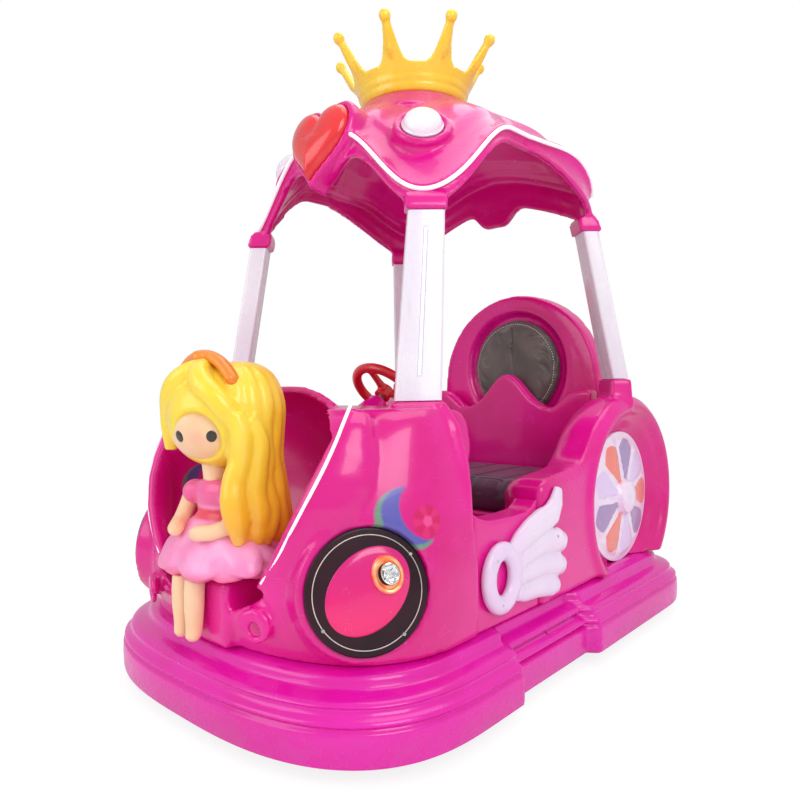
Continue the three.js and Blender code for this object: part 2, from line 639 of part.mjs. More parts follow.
// height of the lower edge: low at the four corners, arched between, with a hanging lobe front and rear
const archHeight = (angle) => {
  const r = edgeRadius(angle);
  const corner = Math.cos(angle) > 0 ? frontPostHead : rearPostHead;
  const away = Math.hypot(Math.abs(r * Math.cos(angle)) - Math.abs(corner.x), Math.abs(r * Math.sin(angle)) - corner.y);
  const low = corner.z + (corner.x > 0 ? 18 : 22);
  const share = corner.x > 0 ? eased(away / archReach) : 1 - (1 - Math.min(1, away / rearReach)) ** 1.6;
  return low + (archTop - low) * share;
};
const edgeHeight = (angle) => {
  const y = edgeRadius(angle) * Math.sin(angle);
  const ends = Math.abs(Math.cos(angle)) > 0.7;
  const drop = Math.cos(angle) > 0 ? frontLobe : rearLobe;
  return archHeight(angle) - (ends ? drop * Math.exp(-((y / lobeHalf) ** 2)) : 0);
};
// the dome falls from its flat top to a shoulder that runs above the lower edge
const shoulder = (angle) => archHeight(angle) + shoulderRise
  + rearRise * eased(Math.max(0, -edgeRadius(angle) * Math.cos(angle)) / riseRun);
const domeHeight = (share, angle) => canopyTop - (canopyTop - shoulder(angle)) * share ** 2.3;
const canopySteps = 40;
const radialShares = [0.3, 0.5, 0.7, 0.86, 1];
const canopyRing = (share, lift, pull) => Array.from({ length: canopySteps }, (_, i) => {
  const angle = (2 * Math.PI * i) / canopySteps;
  const r = Math.max(share * edgeRadius(angle) - pull, 1);
  return vec(r * Math.cos(angle), r * Math.sin(angle), domeHeight(share, angle) - lift);
});
const flangeRing = (share, pull) => Array.from({ length: canopySteps }, (_, i) => {
  const angle = (2 * Math.PI * i) / canopySteps;
  const r = edgeRadius(angle);
  const top = shoulder(angle);
  const z = top + (edgeHeight(angle) - top) * share;
  return vec((r + 6 * share - pull) * Math.cos(angle), (r + 6 * share - pull) * Math.sin(angle), z);
});
const canopyShell = skin([
  ...radialShares.map((share) => canopyRing(share, 0, 0)),
  flangeRing(0.5, 0), flangeRing(1, 0), flangeRing(1, canopyWall), flangeRing(0.5, canopyWall),
  ...[...radialShares].reverse().map((share) => canopyRing(share, canopyWall, share > 0.9 ? canopyWall : 0)),
]);
const headCollar = (head, facing) => skin([
  postRing(head, postHeadWidth + 12, postThickness + 18, facing),
  postRing(head.clone().add(vec(head.x > 0 ? -6 : 6, -6, 75)), postHeadWidth + 22, postThickness + 36, facing)]);
const frontHead = headCollar(frontPostHead, frontFacing);
const rearHead = headCollar(rearPostHead, rearFacing);

// heart badge on a raised frame at the front
const heartShape = (size) => {
  const shape = new THREE.Shape();
  const s = size / 100;
  shape.moveTo(0, -56 * s);
  shape.bezierCurveTo(-14 * s, -34 * s, -58 * s, -12 * s, -52 * s, 26 * s);
  shape.bezierCurveTo(-46 * s, 56 * s, -12 * s, 56 * s, 0, 34 * s);
  shape.bezierCurveTo(12 * s, 56 * s, 46 * s, 56 * s, 52 * s, 26 * s);
  shape.bezierCurveTo(58 * s, -12 * s, 14 * s, -34 * s, 0, -56 * s);
  return shape;
};
const heartCentre = vec(412, 0, 1520);
const heartTilt = 0.3;
const heartSolid = (size, back, front) => {
  const geometry = extrude(heartShape(size), front - back, 7);
  geometry.translate(0, 0, back);
  geometry.applyMatrix4(new THREE.Matrix4().makeBasis(
    vec(0, 1, 0), vec(-Math.sin(heartTilt), 0, Math.cos(heartTilt)), vec(Math.cos(heartTilt), 0, Math.sin(heartTilt))));
  geometry.translate(heartCentre.x, heartCentre.y, heartCentre.z);
  return toSolid(geometry);
};
const frameFront = 14;
const heartSize = 210;
const heartFrame = heartSolid(heartSize + 34, -70, frameFront);
const heartSeat = heartSolid(heartSize + 4, frameFront - 12, 80);
const heartBack = frameFront - 12 + gap;
add('heart_badge', heartSolid(heartSize, heartBack, heartBack + 30), 'red');

// lamp domes over the front posts, each on a round pod
const domeX = 286;
const domeY = 275;
const domeAngle = Math.atan2(domeY, domeX);
const domeLift = 13.5; // of the pod's middle above the canopy's own surface
const domeSpot = vec(domeX, domeY,
  domeHeight(Math.hypot(domeX, domeY) / edgeRadius(domeAngle), domeAngle) + domeLift);
const domeAxis = vec(0.56, 0.54, 0.63).normalize();
const onDome = (forward) => domeSpot.clone().addScaledVector(domeAxis, forward);
const domeRadius = 58;
const podTop = 12;
const domePod = bar(onDome(-50), onDome(podTop), 90, 76, 18);
const domeRoom = bar(onDome(podTop), onDome(podTop + 70), domeRadius + 4, domeRadius + 12, 18);
const domeCap = Array.from({ length: 5 }, (_, i) => {
  const t = (i / 4) * (Math.PI / 2);
  return [domeRadius * Math.cos(t), 6 + 36 * Math.sin(t)];
});
addPair('lamp_dome', turned([[0, 0], [domeRadius, 0], ...domeCap], onDome(podTop + gap), domeAxis, 16), 'lamp');

const crownSeat = domeHeight(radialShares[0], 0) - 20;
const crownPad = upright(0, 0, crownSeat, canopyTop + 6, crownFootRadius + 12, 32);
// the room under the canopy, bounded halfway through its wall
const halfWall = canopyWall / 2;
const keepOut = skin([
  ...radialShares.map((share) => canopyRing(share, halfWall, 0)), flangeRing(0.5, halfWall),
  flangeRing(1, halfWall).map((p) => p.setZ(1150))]);
add('canopy', cut(join(canopyShell, cut(join(heartFrame, domePod, mirrored(domePod)), keepOut),
  frontHead, mirrored(frontHead), rearHead, mirrored(rearHead), crownPad), heartSeat, domeRoom, mirrored(domeRoom)), 'pink');

// ---------------------------------------------------------------- crown
const crownFoot = canopyTop + 6 + gap;
const crownSlices = crownSpikes * 6;
const spikeShare = (angle) => {
  const turn = (((angle / (2 * Math.PI)) * crownSpikes) + 0.5) % 1;
  const near = 1 - Math.abs(turn - 0.5) * 2;
  return 0.4 + 0.6 * near ** 1.3;
};
const spikeTurn = Math.PI / crownSpikes;
const crownRing = (level, inward) => Array.from({ length: crownSlices }, (_, i) => {
  const angle = (2 * Math.PI * i) / crownSlices;
  const up = level * spikeShare(angle);
  const r = crownFootRadius + (crownTipRadius - crownFootRadius) * up ** 1.3 - inward;
  return vec(r * Math.cos(angle + spikeTurn), r * Math.sin(angle + spikeTurn), crownFoot + crownHeight * up);
});
const crownLevels = [0, 0.5, 1];
const crownShell = skin([...crownLevels.map((level) => crownRing(level, 0)),
  ...[...crownLevels].reverse().map((level) => crownRing(level, crownWall))], true);
const tips = Array.from({ length: crownSpikes }, (_, i) => {
  const angle = spikeTurn + (2 * Math.PI * i) / crownSpikes;
  const r = crownTipRadius - crownWall / 2;
  return ball(vec(r * Math.cos(angle), r * Math.sin(angle), crownFoot + crownHeight), ballRadius, [1, 1, 1], 8);
});
add('crown', join(crownShell, ...tips), 'yellow');

// ---------------------------------------------------------------- headlamps and wings
const plate = turned([[0, 0], [lampRadius, 0], [lampRadius, 8], [0, 8]], onLamp(podReach + gap), lampNormal, 20);
const eye = turned([[0, 0], [lampRadius * 0.7, 0], [lampRadius * 0.66, 14], [lampRadius * 0.4, 20], [0, 22]],
  onLamp(podReach + gap), lampNormal, 20);
const lampSide = vec(-lampNormal.y, lampNormal.x, 0).normalize();
const bulbSpot = onLamp(podReach).addScaledVector(lampSide, 40).add(vec(0, 0, 45));
const bulb = turned([[0, 0], [36, 0], [36, 32], [26, 38], [0, 38]], bulbSpot, lampNormal, 12);
addPair('headlamp', join(plate, eye, bulb), 'black');

const wingThickness = 22;
const wingShape = new THREE.Shape();
wingShape.moveTo(310, 250);
wingShape.bezierCurveTo(250, 225, 170, 240, 150, 300);
wingShape.bezierCurveTo(90, 270, 40, 300, 62, 350);
wingShape.bezierCurveTo(0, 350, -10, 410, 40, 440);
wingShape.bezierCurveTo(-20, 470, -10, 520, 60, 512);
wingShape.bezierCurveTo(130, 500, 170, 460, 190, 400);
wingShape.bezierCurveTo(230, 420, 310, 420, 335, 370);
wingShape.bezierCurveTo(355, 320, 345, 270, 310, 250);
const wingBack = sillOuter + gap;
const wing = sidePrism(wingShape, wingBack, sillOuter + wingThickness, 4);
const wingRoom = box(-beyond, sillRearX + gap, 0, quarterOuterY + gap, 0, 900);
addPair('wing', join(cut(wing, wingRoom), wing.intersect(box(-beyond, beyond, quarterOuterY + gap, beyond, 0, 900))
  .add(sidePrism(wingShape, quarterOuterY + gap, quarterOuterY + 16, 4))), 'white');

// ---------------------------------------------------------------- doll on a perch in the alcove
const headCentre = vec(dollX, 0, 742);
const face = ball(headCentre, headRadius, [1, 1, 1.02], 14);
const dressTop = 232;
const dressProfile = [[0, 0], [150, 0], [178, 14], [176, 34], [140, 70], [84, 108], [66, 150], [74, 205], [50, 228],
  [0, dressTop]];
const dressDepth = 0.62;
const dressAt = vec(dollX - 6, 0, perchTop + gap);
const dollShoulder = (side) => vec(dollX + 6, side * 80, 560);
const hand = (side) => vec(dollX + 78, side * 46, 500);
const figure = (grow) => join(
  turned(dressProfile.map(([r, h]) => [r === 0 ? 0 : r + grow * 2, h + (h > 0 ? grow : -grow)]), dressAt,
    vec(0, 0, 1), 14, dressDepth),
  ...[1, -1].flatMap((side) => [ball(dollShoulder(side), 34 + grow * 1.5, [1, 1, 1], 8),
    bar(dollShoulder(side), hand(side), 27 + grow * 1.5, 20 + grow * 1.5, 8)]));
add('doll_dress', figure(0), 'dress');

const neckRadius = 38;
const neck = (grow) => upright(headCentre.x, 0, perchTop + dressTop, headCentre.z, neckRadius + grow);
add('doll_head', cut(join(face, neck(0)), figure(gap)), 'skin');

const hairBall = ball(vec(dollX - 22, 0, 765), 142, [0.9, 1.03, 0.98], 12);
const hairFall = turned([[0, 0], [124, 0], [136, 60], [140, 160], [128, 330], [0, 330]], vec(dollX - 48, 0, 440),
  vec(0, 0, 1), 14, 0.8);
const faceWindow = box(dollX + 10, beyond, -86, 86, 400, 800);
const headRoom = join(ball(headCentre, headRadius + 2 * gap, [1, 1, 1.02], 14), neck(1));
add('doll_hair', cut(join(hairBall, hairFall), faceWindow, headRoom, figure(1)), 'yellow');

const legX = perchFront + 28;
const legTop = perchTop;
const leg = (side) => join(bar(vec(legX, side * 31, deckTop + 10), vec(legX, side * 31, legTop), 21, 26, 10),
  ball(vec(legX + 3, side * 31, deckTop + 22), 22, [1.1, 1, 1], 8));
const legBridge = box(legX - 14, legX + 14, -32, 32, legTop - 30, legTop);
add('doll_legs', join(leg(1), leg(-1), legBridge), 'skin');

export default car;
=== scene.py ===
# A carriage-shaped bumper car for one small rider: moulded glass-fibre shells on a skirted base, drawn in metres
# with the floor at z = 0, +X forward and +Y to the car's left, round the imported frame.
import math

import bmesh
import bpy
from mathutils import Matrix, Vector


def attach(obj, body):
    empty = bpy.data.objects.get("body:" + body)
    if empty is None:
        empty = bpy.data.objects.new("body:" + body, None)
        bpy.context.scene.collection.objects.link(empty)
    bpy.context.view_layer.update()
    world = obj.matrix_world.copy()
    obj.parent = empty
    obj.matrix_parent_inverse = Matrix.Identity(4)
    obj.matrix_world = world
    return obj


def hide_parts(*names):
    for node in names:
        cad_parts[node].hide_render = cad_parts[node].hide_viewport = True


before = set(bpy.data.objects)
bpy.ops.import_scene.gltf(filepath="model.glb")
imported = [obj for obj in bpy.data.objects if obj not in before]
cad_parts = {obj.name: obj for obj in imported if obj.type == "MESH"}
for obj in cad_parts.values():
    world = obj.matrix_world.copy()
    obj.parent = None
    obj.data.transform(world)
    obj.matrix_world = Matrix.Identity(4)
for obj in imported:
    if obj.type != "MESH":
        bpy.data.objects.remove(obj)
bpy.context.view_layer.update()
scene = bpy.context.scene
scene.view_settings.view_transform = "Standard"

# ------------------------------------------------------------------ showroom
# The car stands on a plain pale floor under three big soft boxes, seen from its front left corner at a
# child's eye height.
eye = Vector((1.735, 1.480, 0.834))
heading, dip, tilt = math.radians(41.99), math.radians(1.421), math.radians(-0.979)
camera = bpy.data.objects.new("showroom_camera", bpy.data.cameras.new("showroom_camera"))
scene.collection.objects.link(camera)
scene.camera = camera
camera.data.lens, camera.data.sensor_width = 30.6, 36
looking = Vector((-math.cos(heading) * math.cos(dip), -math.sin(heading) * math.cos(dip), -math.sin(dip)))
level_right = looking.cross(Vector((0, 0, 1))).normalized()
level_up = level_right.cross(looking)
right = level_right * math.cos(tilt) + level_up * math.sin(tilt)
up = level_up * math.cos(tilt) - level_right * math.sin(tilt)
camera.matrix_world = Matrix.Translation(eye) @ Matrix((right, up, -looking)).transposed().to_4x4()

floor_form = bmesh.new()
bmesh.ops.create_grid(floor_form, x_segments=2, y_segments=2, size=30)
floor_mesh = bpy.data.meshes.new("showroom_floor")
floor_form.to_mesh(floor_mesh)
floor_form.free()
showroom_floor = bpy.data.objects.new("showroom_floor", floor_mesh)
scene.collection.objects.link(showroom_floor)

floor_paint = bpy.data.materials.new("pale_floor")
floor_paint.use_nodes = True
floor_tree = floor_paint.node_tree
floor_tree.nodes["Principled BSDF"].inputs["Base Color"].default_value = (0.9, 0.9, 0.9, 1)
floor_tree.nodes["Principled BSDF"].inputs["Roughness"].default_value = 0.75
floor_glow = floor_tree.nodes.new("ShaderNodeEmission")
floor_glow.inputs["Color"].default_value = (1, 1, 1, 1)
floor_glow.inputs["Strength"].default_value = 1.17
floor_blend = floor_tree.nodes.new("ShaderNodeMixShader")
floor_seen = floor_tree.nodes.new("ShaderNodeLightPath")
floor_share = floor_tree.nodes.new("ShaderNodeMath")
floor_share.operation = "MULTIPLY"
floor_share.inputs[1].default_value = 0.72
for output, socket in [
    (floor_seen.outputs["Is Camera Ray"], floor_share.inputs[0]), (floor_share.outputs[0], floor_blend.inputs[0]),
    (floor_tree.nodes["Principled BSDF"].outputs[0], floor_blend.inputs[1]),
    (floor_glow.outputs[0], floor_blend.inputs[2]),
    (floor_blend.outputs[0], floor_tree.nodes["Material Output"].inputs["Surface"]),
]:
    floor_tree.links.new(output, socket)
floor_mesh.materials.append(floor_paint)

room = bpy.data.worlds.new("showroom_air")
scene.world = room
room.use_nodes = True
air = room.node_tree
air_seen = air.nodes.new("ShaderNodeLightPath")
air_strength = air.nodes.new("ShaderNodeMath")
air_strength.operation = "MULTIPLY_ADD"
AIR_ON_CAR = 0.62
air_strength.inputs[1].default_value = 1 - AIR_ON_CAR
air_strength.inputs[2].default_value = AIR_ON_CAR
air.links.new(air_seen.outputs["Is Camera Ray"], air_strength.inputs[0])
air.links.new(air_strength.outputs[0], air.nodes["Background"].inputs["Strength"])
air.nodes["Background"].inputs["Color"].default_value = (1, 1, 1, 1)

for lamp_name, lamp_at, lamp_power, lamp_width in [
    ("soft_box_left", (1.6, 3.4, 2.9), 62, 2.2),
    ("soft_box_front", (3.6, -1.0, 2.2), 34, 2.4),
    ("soft_box_top", (-0.8, 0.3, 4.2), 48, 3.0),
]:
    soft_box = bpy.data.objects.new(lamp_name, bpy.data.lights.new(lamp_name, "AREA"))
    soft_box.data.energy, soft_box.data.size = lamp_power, lamp_width
    soft_box.location = lamp_at
    soft_box.rotation_euler = (Vector((0, 0, 0.8)) - Vector(lamp_at)).to_track_quat("-Z", "Y").to_euler()
    scene.collection.objects.link(soft_box)

# ------------------------------------------------------------------ base skirt
# Two glass-fibre mouldings meet at a seam and run round the car as its bumper: a plain wall, two raised ribs, a
# sloping shelf and a step up to the deck, with a shallow recess along each side.
CAR_LENGTH, CAR_WIDTH, SEAM_X, JOINT_GAP = 1.8, 1.2, 0.11, 0.0006


class Wire:
    """A socket in a material's nodes. Arithmetic on it adds Math nodes, and node() adds any other one."""

    def __init__(self, tree, socket=None):
        self.tree, self.socket = tree, socket

    def node(self, kind, settings=(), inputs=(), output=0):
        made = self.tree.nodes.new(kind)
        for name, value in dict(settings).items():
            if name == "stops":
                stops = made.color_ramp.elements
                while len(stops) < len(value):
                    stops.new(0.5)
                for stop, (place, colour) in zip(stops, value):
                    stop.position, stop.color = place, colour
            else:
                setattr(made, name, value)
        for name, value in dict(inputs).items():
            if isinstance(value, Wire):
                self.tree.links.new(value.socket, made.inputs[name])
            else:
                made.inputs[name].default_value = value
        return Wire(self.tree, made.outputs[output])

    def math(self, operation, *values, clamp=False):
        return self.node("ShaderNodeMath", {"operation": operation, "use_clamp": clamp}, dict(enumerate(values)))

    def __add__(self, other):
        return self.math("ADD", self, other)

    def __sub__(self, other):
        return self.math("SUBTRACT", self, other)

    def __rsub__(self, other):
        return self.math("SUBTRACT", other, self)

    def __mul__(self, other):
        return self.math("MULTIPLY", self, other)

    __radd__, __rmul__ = __add__, __mul__

    def __truediv__(self, other):
        return self.math("DIVIDE", self, other)

    def __pow__(self, other):
        return self.math("POWER", self, other)

    def above(self, low, high):
        """0 under low, 1 over high and smooth between."""
        return self.node("ShaderNodeMapRange", {"interpolation_type": "SMOOTHSTEP"}, {0: self, 1: low, 2: high})

    def blend(self, first, second):
        """The first colour where this is 0 and the second where it is 1."""
        return self.node("ShaderNodeMix", {"data_type": "RGBA"}, {0: self, 6: first, 7: second}, 2)

    def axes(self):
        split = self.node("ShaderNodeSeparateXYZ", (), {0: self})
        return [Wire(self.tree, out) for out in split.socket.node.outputs]

    def speckle(self, scale, detail=3.0, stretch=(1, 1, 1)):
        """Soft noise from 0 to 1 at this scale, in marks per metre."""
        placed = self.node("ShaderNodeMapping", (), {"Vector": self, "Scale": stretch})
        return self.node("ShaderNodeTexNoise", (), {"Vector": placed, "Scale": scale, "Detail": detail})

    def cells(self, scale, feature="F1"):
        return self.node("ShaderNodeTexVoronoi", {"feature": feature}, {"Vector": self, "Scale": scale})


def rgb(red, green, blue):
    return (red, green, blue, 1.0)


def new_finish(name, **fixed):
    """A material with its fixed values set on the shader; gives the material and a wire at Object coordinates."""
    material = bpy.data.materials.new(name)
    material.use_nodes = True
    for socket, value in fixed.items():
        material.node_tree.nodes["Principled BSDF"].inputs[socket.replace("_", " ")].default_value = value
    return material, Wire(material.node_tree).node("ShaderNodeTexCoord", output=3)


def feed(material, **wires):
    """Links wires to the shader's sockets; relief goes through a Bump node, as (height, distance in metres)."""
    tree = material.node_tree
    shader = tree.nodes["Principled BSDF"]
    if "relief" in wires:
        height, depth = wires.pop("relief")
        bump = height.node("ShaderNodeBump", (), {"Strength": 1.0, "Distance": depth, "Height": height})
        tree.links.new(bump.socket, shader.inputs["Normal"])
    for socket, wire in wires.items():
        tree.links.new(wire.socket, shader.inputs[socket.replace("_", " ")])
    return material


def gel_coat(name, colour, deep, pale, roughness=0.26, coat=0.4):
    """Glossy pigmented gel coat: cloudy depth of colour, fine orange peel, hairline scuffs and a dusty foot."""
    material, at = new_finish(name, Coat_Weight=coat, Coat_Roughness=0.07, Specular_IOR_Level=0.4)
    x, y, z = at.axes()
    cloud = at.speckle(2.6, 2.0)
    mottle = at.speckle(14.0, 4.0)
    scuff = at.speckle(34.0, 6.0, (1, 1, 5)).above(0.62, 0.8)
    dust = (1 - z.above(0.03, 0.14)) * at.speckle(22.0, 5.0).above(0.4, 0.75)
    paint = cloud.above(0.3, 0.7).blend(deep, colour)
    paint = (mottle.above(0.45, 0.75) * 0.25).blend(paint, pale)
    paint = (dust * 0.16).blend(paint, rgb(0.33, 0.2, 0.24))
    peel = at.speckle(150.0, 2.0) * 0.5 + at.speckle(9.0, 2.0)
    return feed(material, Base_Color=paint, Roughness=mottle * 0.08 + scuff * 0.05 + dust * 0.2
                + (roughness - 0.04),
                relief=(peel, 0.00035))


shell_pink = gel_coat("shell_pink", rgb(0.80, 0.005, 0.30), rgb(0.68, 0.002, 0.21), rgb(0.86, 0.012, 0.38))
base_pink = gel_coat("base_pink", rgb(0.80, 0.006, 0.42), rgb(0.73, 0.002, 0.34), rgb(0.85, 0.012, 0.52))


def loft(rings, close=False, cap=False):
    """Draws the first ring of points as a loop of edges and extrudes it through the others. The ends may be capped,
    or joined to each other."""
    form = bmesh.new()
    number = form.verts.layers.int.new("number")
    loop = [form.verts.new(p) for p in rings[0]]
    for i, vertex in enumerate(loop):
        vertex[number] = i
    edges = [form.edges.new((a, b)) for a, b in zip(loop, loop[1:] + loop[:1])]
    first = edges
    for ring in rings[1:]:
        grown = bmesh.ops.extrude_edge_only(form, edges=edges)["geom"]
        fresh = {g for g in grown if isinstance(g, bmesh.types.BMVert)}
        for vertex in fresh:
            vertex.co = ring[vertex[number]]
        edges = [g for g in grown if isinstance(g,
                                                bmesh.types.BMEdge) and g.verts[0] in fresh and g.verts[1] in fresh]
    if close:
        bmesh.ops.bridge_loops(form, edges=first + edges)
    if cap:
        for rim in (first, edges):
            bmesh.ops.contextual_create(form, geom=rim)
    return form


def settle(name, form, paint, hides=(), crease=40.0, weld=1e-5, body="body"):
    """Makes a finished piece of a form: welded, facing outwards, shaded smooth but for its sharp edges, painted, and
    riding on its body in place of the plain nodes it hides."""
    bmesh.ops.remove_doubles(form, verts=form.verts, dist=weld)
    bmesh.ops.recalc_face_normals(form, faces=form.faces)
    mesh = bpy.data.meshes.new(name)
    form.to_mesh(mesh)
    form.free()
    mesh.shade_smooth()
    mesh.set_sharp_from_angle(angle=math.radians(crease))
    mesh.materials.append(paint)
    piece = bpy.data.objects.new(name, mesh)
    scene.collection.objects.link(piece)
    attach(piece, body)
    if hides:
        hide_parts(*hides)
    return piece


def power(value, exponent):
    return math.copysign(abs(value) ** exponent, value)


def smooth(value, low, high):
    share = min(1.0, max(0.0, (value - low) / (high - low)))
    return share * share * (3 - 2 * share)


def rounded_end(start, tip, half, exponent, steps):
    """Points from the side at x = start round to the tip, on one side of the car."""
    turns = [i / steps * math.pi / 2 for i in range(steps + 1)]
    return [(start + (tip - start) * power(math.sin(t), 2 / exponent), half * power(math.cos(t), 2 / exponent))
            for t in turns]


def both_sides(left):
    return left + [(x, -y) for x, y in reversed(left[1:-1])]


def in_recess(x):
    return smooth(x, -0.100, -0.072) * (1 - smooth(x, 0.292, 0.320))


def skirt_line(inset, z, groove=0.0):
    half = CAR_WIDTH / 2 - inset
    front = rounded_end(0.45, CAR_LENGTH / 2 - inset, half, 2.83, 36)[::-1]
    rear = rounded_end(-0.58, inset - CAR_LENGTH / 2, half, 3.5, 36)
    side = [0.44 - 0.008 * i for i in range(128)]
    left = front + [(x, half - in_recess(x) * (0.032 + groove)) for x in side] + rear
    return [Vector((x, y, z)) for x, y in both_sides(left)]


# each station: inset from the outermost face, height, and how much deeper the line lies in the side recess
skirt_section = [
    (0.009, 0.040, 0), (0.003, 0.043, 0), (0.001, 0.052, 0), (0.0, 0.085, 0), (0.001, 0.112, 0.0),
    (0.003, 0.117, 0.006),
    (0.008, 0.119, 0.008), (0.0095, 0.123, 0.008), (0.007, 0.127, 0.003), (0.004, 0.130, 0), (0.005, 0.135, 0),
    (0.010, 0.139, 0.001), (0.0165, 0.142, 0.006), (0.021, 0.147, 0.010), (0.024, 0.153, 0.009),
    (0.024, 0.157, 0.002),
    (0.0225, 0.161, 0), (0.026, 0.166, 0), (0.034, 0.170, 0), (0.044, 0.173, 0), (0.056, 0.177, 0),
    (0.064, 0.180, 0),
    (0.067, 0.184, 0), (0.069, 0.194, 0), (0.072, 0.201, 0), (0.078, 0.205, 0), (0.088, 0.208, 0),
    (0.098, 0.2125, 0),
    (0.104, 0.215, 0), (0.120, 0.215, 0), (0.120, 0.203, 0), (0.090, 0.201, 0), (0.070, 0.176, 0),
    (0.032, 0.150, 0),
    (0.022, 0.120, 0), (0.022, 0.040, 0),
]


def slice_off(form, at, outward):
    """Cuts away what lies beyond a plane and closes the cut."""
    bmesh.ops.bisect_plane(form, geom=form.verts[:] + form.edges[:] + form.faces[:], plane_co=at, plane_no=outward,
                           clear_outer=True)
    bmesh.ops.holes_fill(form, edges=[e for e in form.edges if e.is_boundary], sides=0)


for skirt_name, ahead in [("bumper_front", 1), ("bumper_rear", -1)]:
    skirt = loft([skirt_line(*station) for station in skirt_section], close=True)
    cut_at = Vector((SEAM_X + ahead * JOINT_GAP / 2, 0, 0))
    slice_off(skirt, cut_at, (-ahead, 0, 0))
    settle(skirt_name + "_moulding", skirt, base_pink, [skirt_name], crease=50)

# ------------------------------------------------------------------ deck and running gear
# The deck is a flat glass-fibre floor inside the skirt. Under it a welded box-section frame carries two beam axles,
# a drive motor and the steering rods, all painted or zinc-plated steel.


def small_edges(nodes, width):
    """Rounds the edges of plain nodes that stay in sight."""
    for node in nodes:
        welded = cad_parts[node].modifiers.new("welded", "WELD")
        welded.merge_threshold = 1e-5
        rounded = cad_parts[node].modifiers.new("rounded", "BEVEL")
        rounded.width, rounded.segments, rounded.limit_method = width, 2, "ANGLE"
        rounded.angle_limit = math.radians(35)


def coat_nodes(nodes, paint):
    for node in nodes:
        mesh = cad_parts[node].data
        mesh.materials.clear()
        mesh.materials.append(paint)


def painted_steel(name, colour, worn, roughness=0.45):
    """Sprayed enamel on steel: orange peel, dust and bare specks."""
    material, at = new_finish(name, Coat_Weight=0.15, Coat_Roughness=0.2)
    cloud, grit = at.speckle(9.0, 4.0), at.speckle(70.0, 6.0)
    bare = grit.above(0.66, 0.74)
    paint = cloud.above(0.35, 0.7).blend(colour, worn)
    return feed(material, Base_Color=(bare * 0.6).blend(paint, rgb(0.32, 0.27, 0.23)), Metallic=bare * 0.6,
                Roughness=cloud * 0.2 + (roughness - 0.05), relief=(grit + bare * 0.6, 0.0006))


def zinc_plate(name):
    """Zinc-plated steel: bright crystals, brushed along, with darker smears of grease."""
    material, at = new_finish(name, Metallic=1.0)
    crystal, smear = at.cells(160.0), at.speckle(12.0, 3.0)
    brushed = at.speckle(40.0, 4.0, (1, 14, 14))
    shade = (smear.above(0.5, 0.75) * 0.7).blend(rgb(0.56, 0.57, 0.6), rgb(0.26, 0.25, 0.24))
    shade = (crystal * 0.35).blend(shade, rgb(0.72, 0.73, 0.76))
    return feed(material, Base_Color=shade, Roughness=smear * 0.25 + brushed * 0.1 + 0.2, relief=(brushed, 0.0004))


frame_black = painted_steel("frame_black", rgb(0.025, 0.026, 0.03), rgb(0.06, 0.055, 0.05))
motor_grey = painted_steel("motor_grey", rgb(0.10, 0.11, 0.13), rgb(0.16, 0.16, 0.16), 0.5)
case_black = painted_steel("case_black", rgb(0.02, 0.02, 0.024), rgb(0.04, 0.04, 0.045), 0.6)
zinc = zinc_plate("zinc")

gear_black = ["chassis_frame", "front_axle", "rear_axle"]
gear_zinc = ["knuckle_left", "knuckle_right", "track_rod", "steering_shaft", "steering_column"]
coat_nodes(gear_black, frame_black)
coat_nodes(["drive_motor"], motor_grey)
coat_nodes(["battery_block"], case_black)
coat_nodes(gear_zinc, zinc)
small_edges(gear_black + gear_zinc + ["drive_motor", "battery_block"], 0.0016)

# the deck is the same pink moulding as the shells above it
coat_nodes(["floor_deck"], shell_pink)
small_edges(["floor_deck"], 0.002)

# ------------------------------------------------------------------ wheels
# Solid rubber tyres with four rain grooves and shallow cross cuts are pressed on spun steel rims with a bolted hub.
WHEEL_R, TYRE_HALF, RIM_R, STUB_R, WHEEL_Y = 0.080, 0.0225, 0.052, 0.0105, 0.405
SIDES = [("left", 1), ("right", -1)]


def moved(form, matrix):
    bmesh.ops.transform(form, matrix=matrix, verts=form.verts)
    return form


def circle(count):
    """Angles evenly round a circle."""
    return [2 * math.pi * k / count for k in range(count)]


def turn_on(profile, steps=64):
    """Spins a profile of (radius, along) points round the Y axis into a closed skin."""
    form = bmesh.new()
    line = [form.verts.new((radius, along, 0)) for radius, along in profile]
    ring = [form.edges.new((a, b)) for a, b in zip(line, line[1:] + line[:1])]
    bmesh.ops.spin(form, geom=line + ring, axis=(0, 1, 0), cent=(0, 0, 0), dvec=(0, 0, 0), angle=2 * math.pi,
                   steps=steps, use_merge=True, use_duplicate=False)
    return form


def rubber(name):
    material, at = new_finish(name, Specular_IOR_Level=0.3)
    dirt, grain = at.speckle(20.0, 5.0), at.speckle(260.0, 3.0)
    return feed(material, Base_Color=dirt.above(0.45, 0.7).blend(rgb(0.018, 0.018, 0.019), rgb(0.07, 0.062, 0.055)),
                Roughness=dirt * 0.2 + 0.65, relief=(grain, 0.0005))


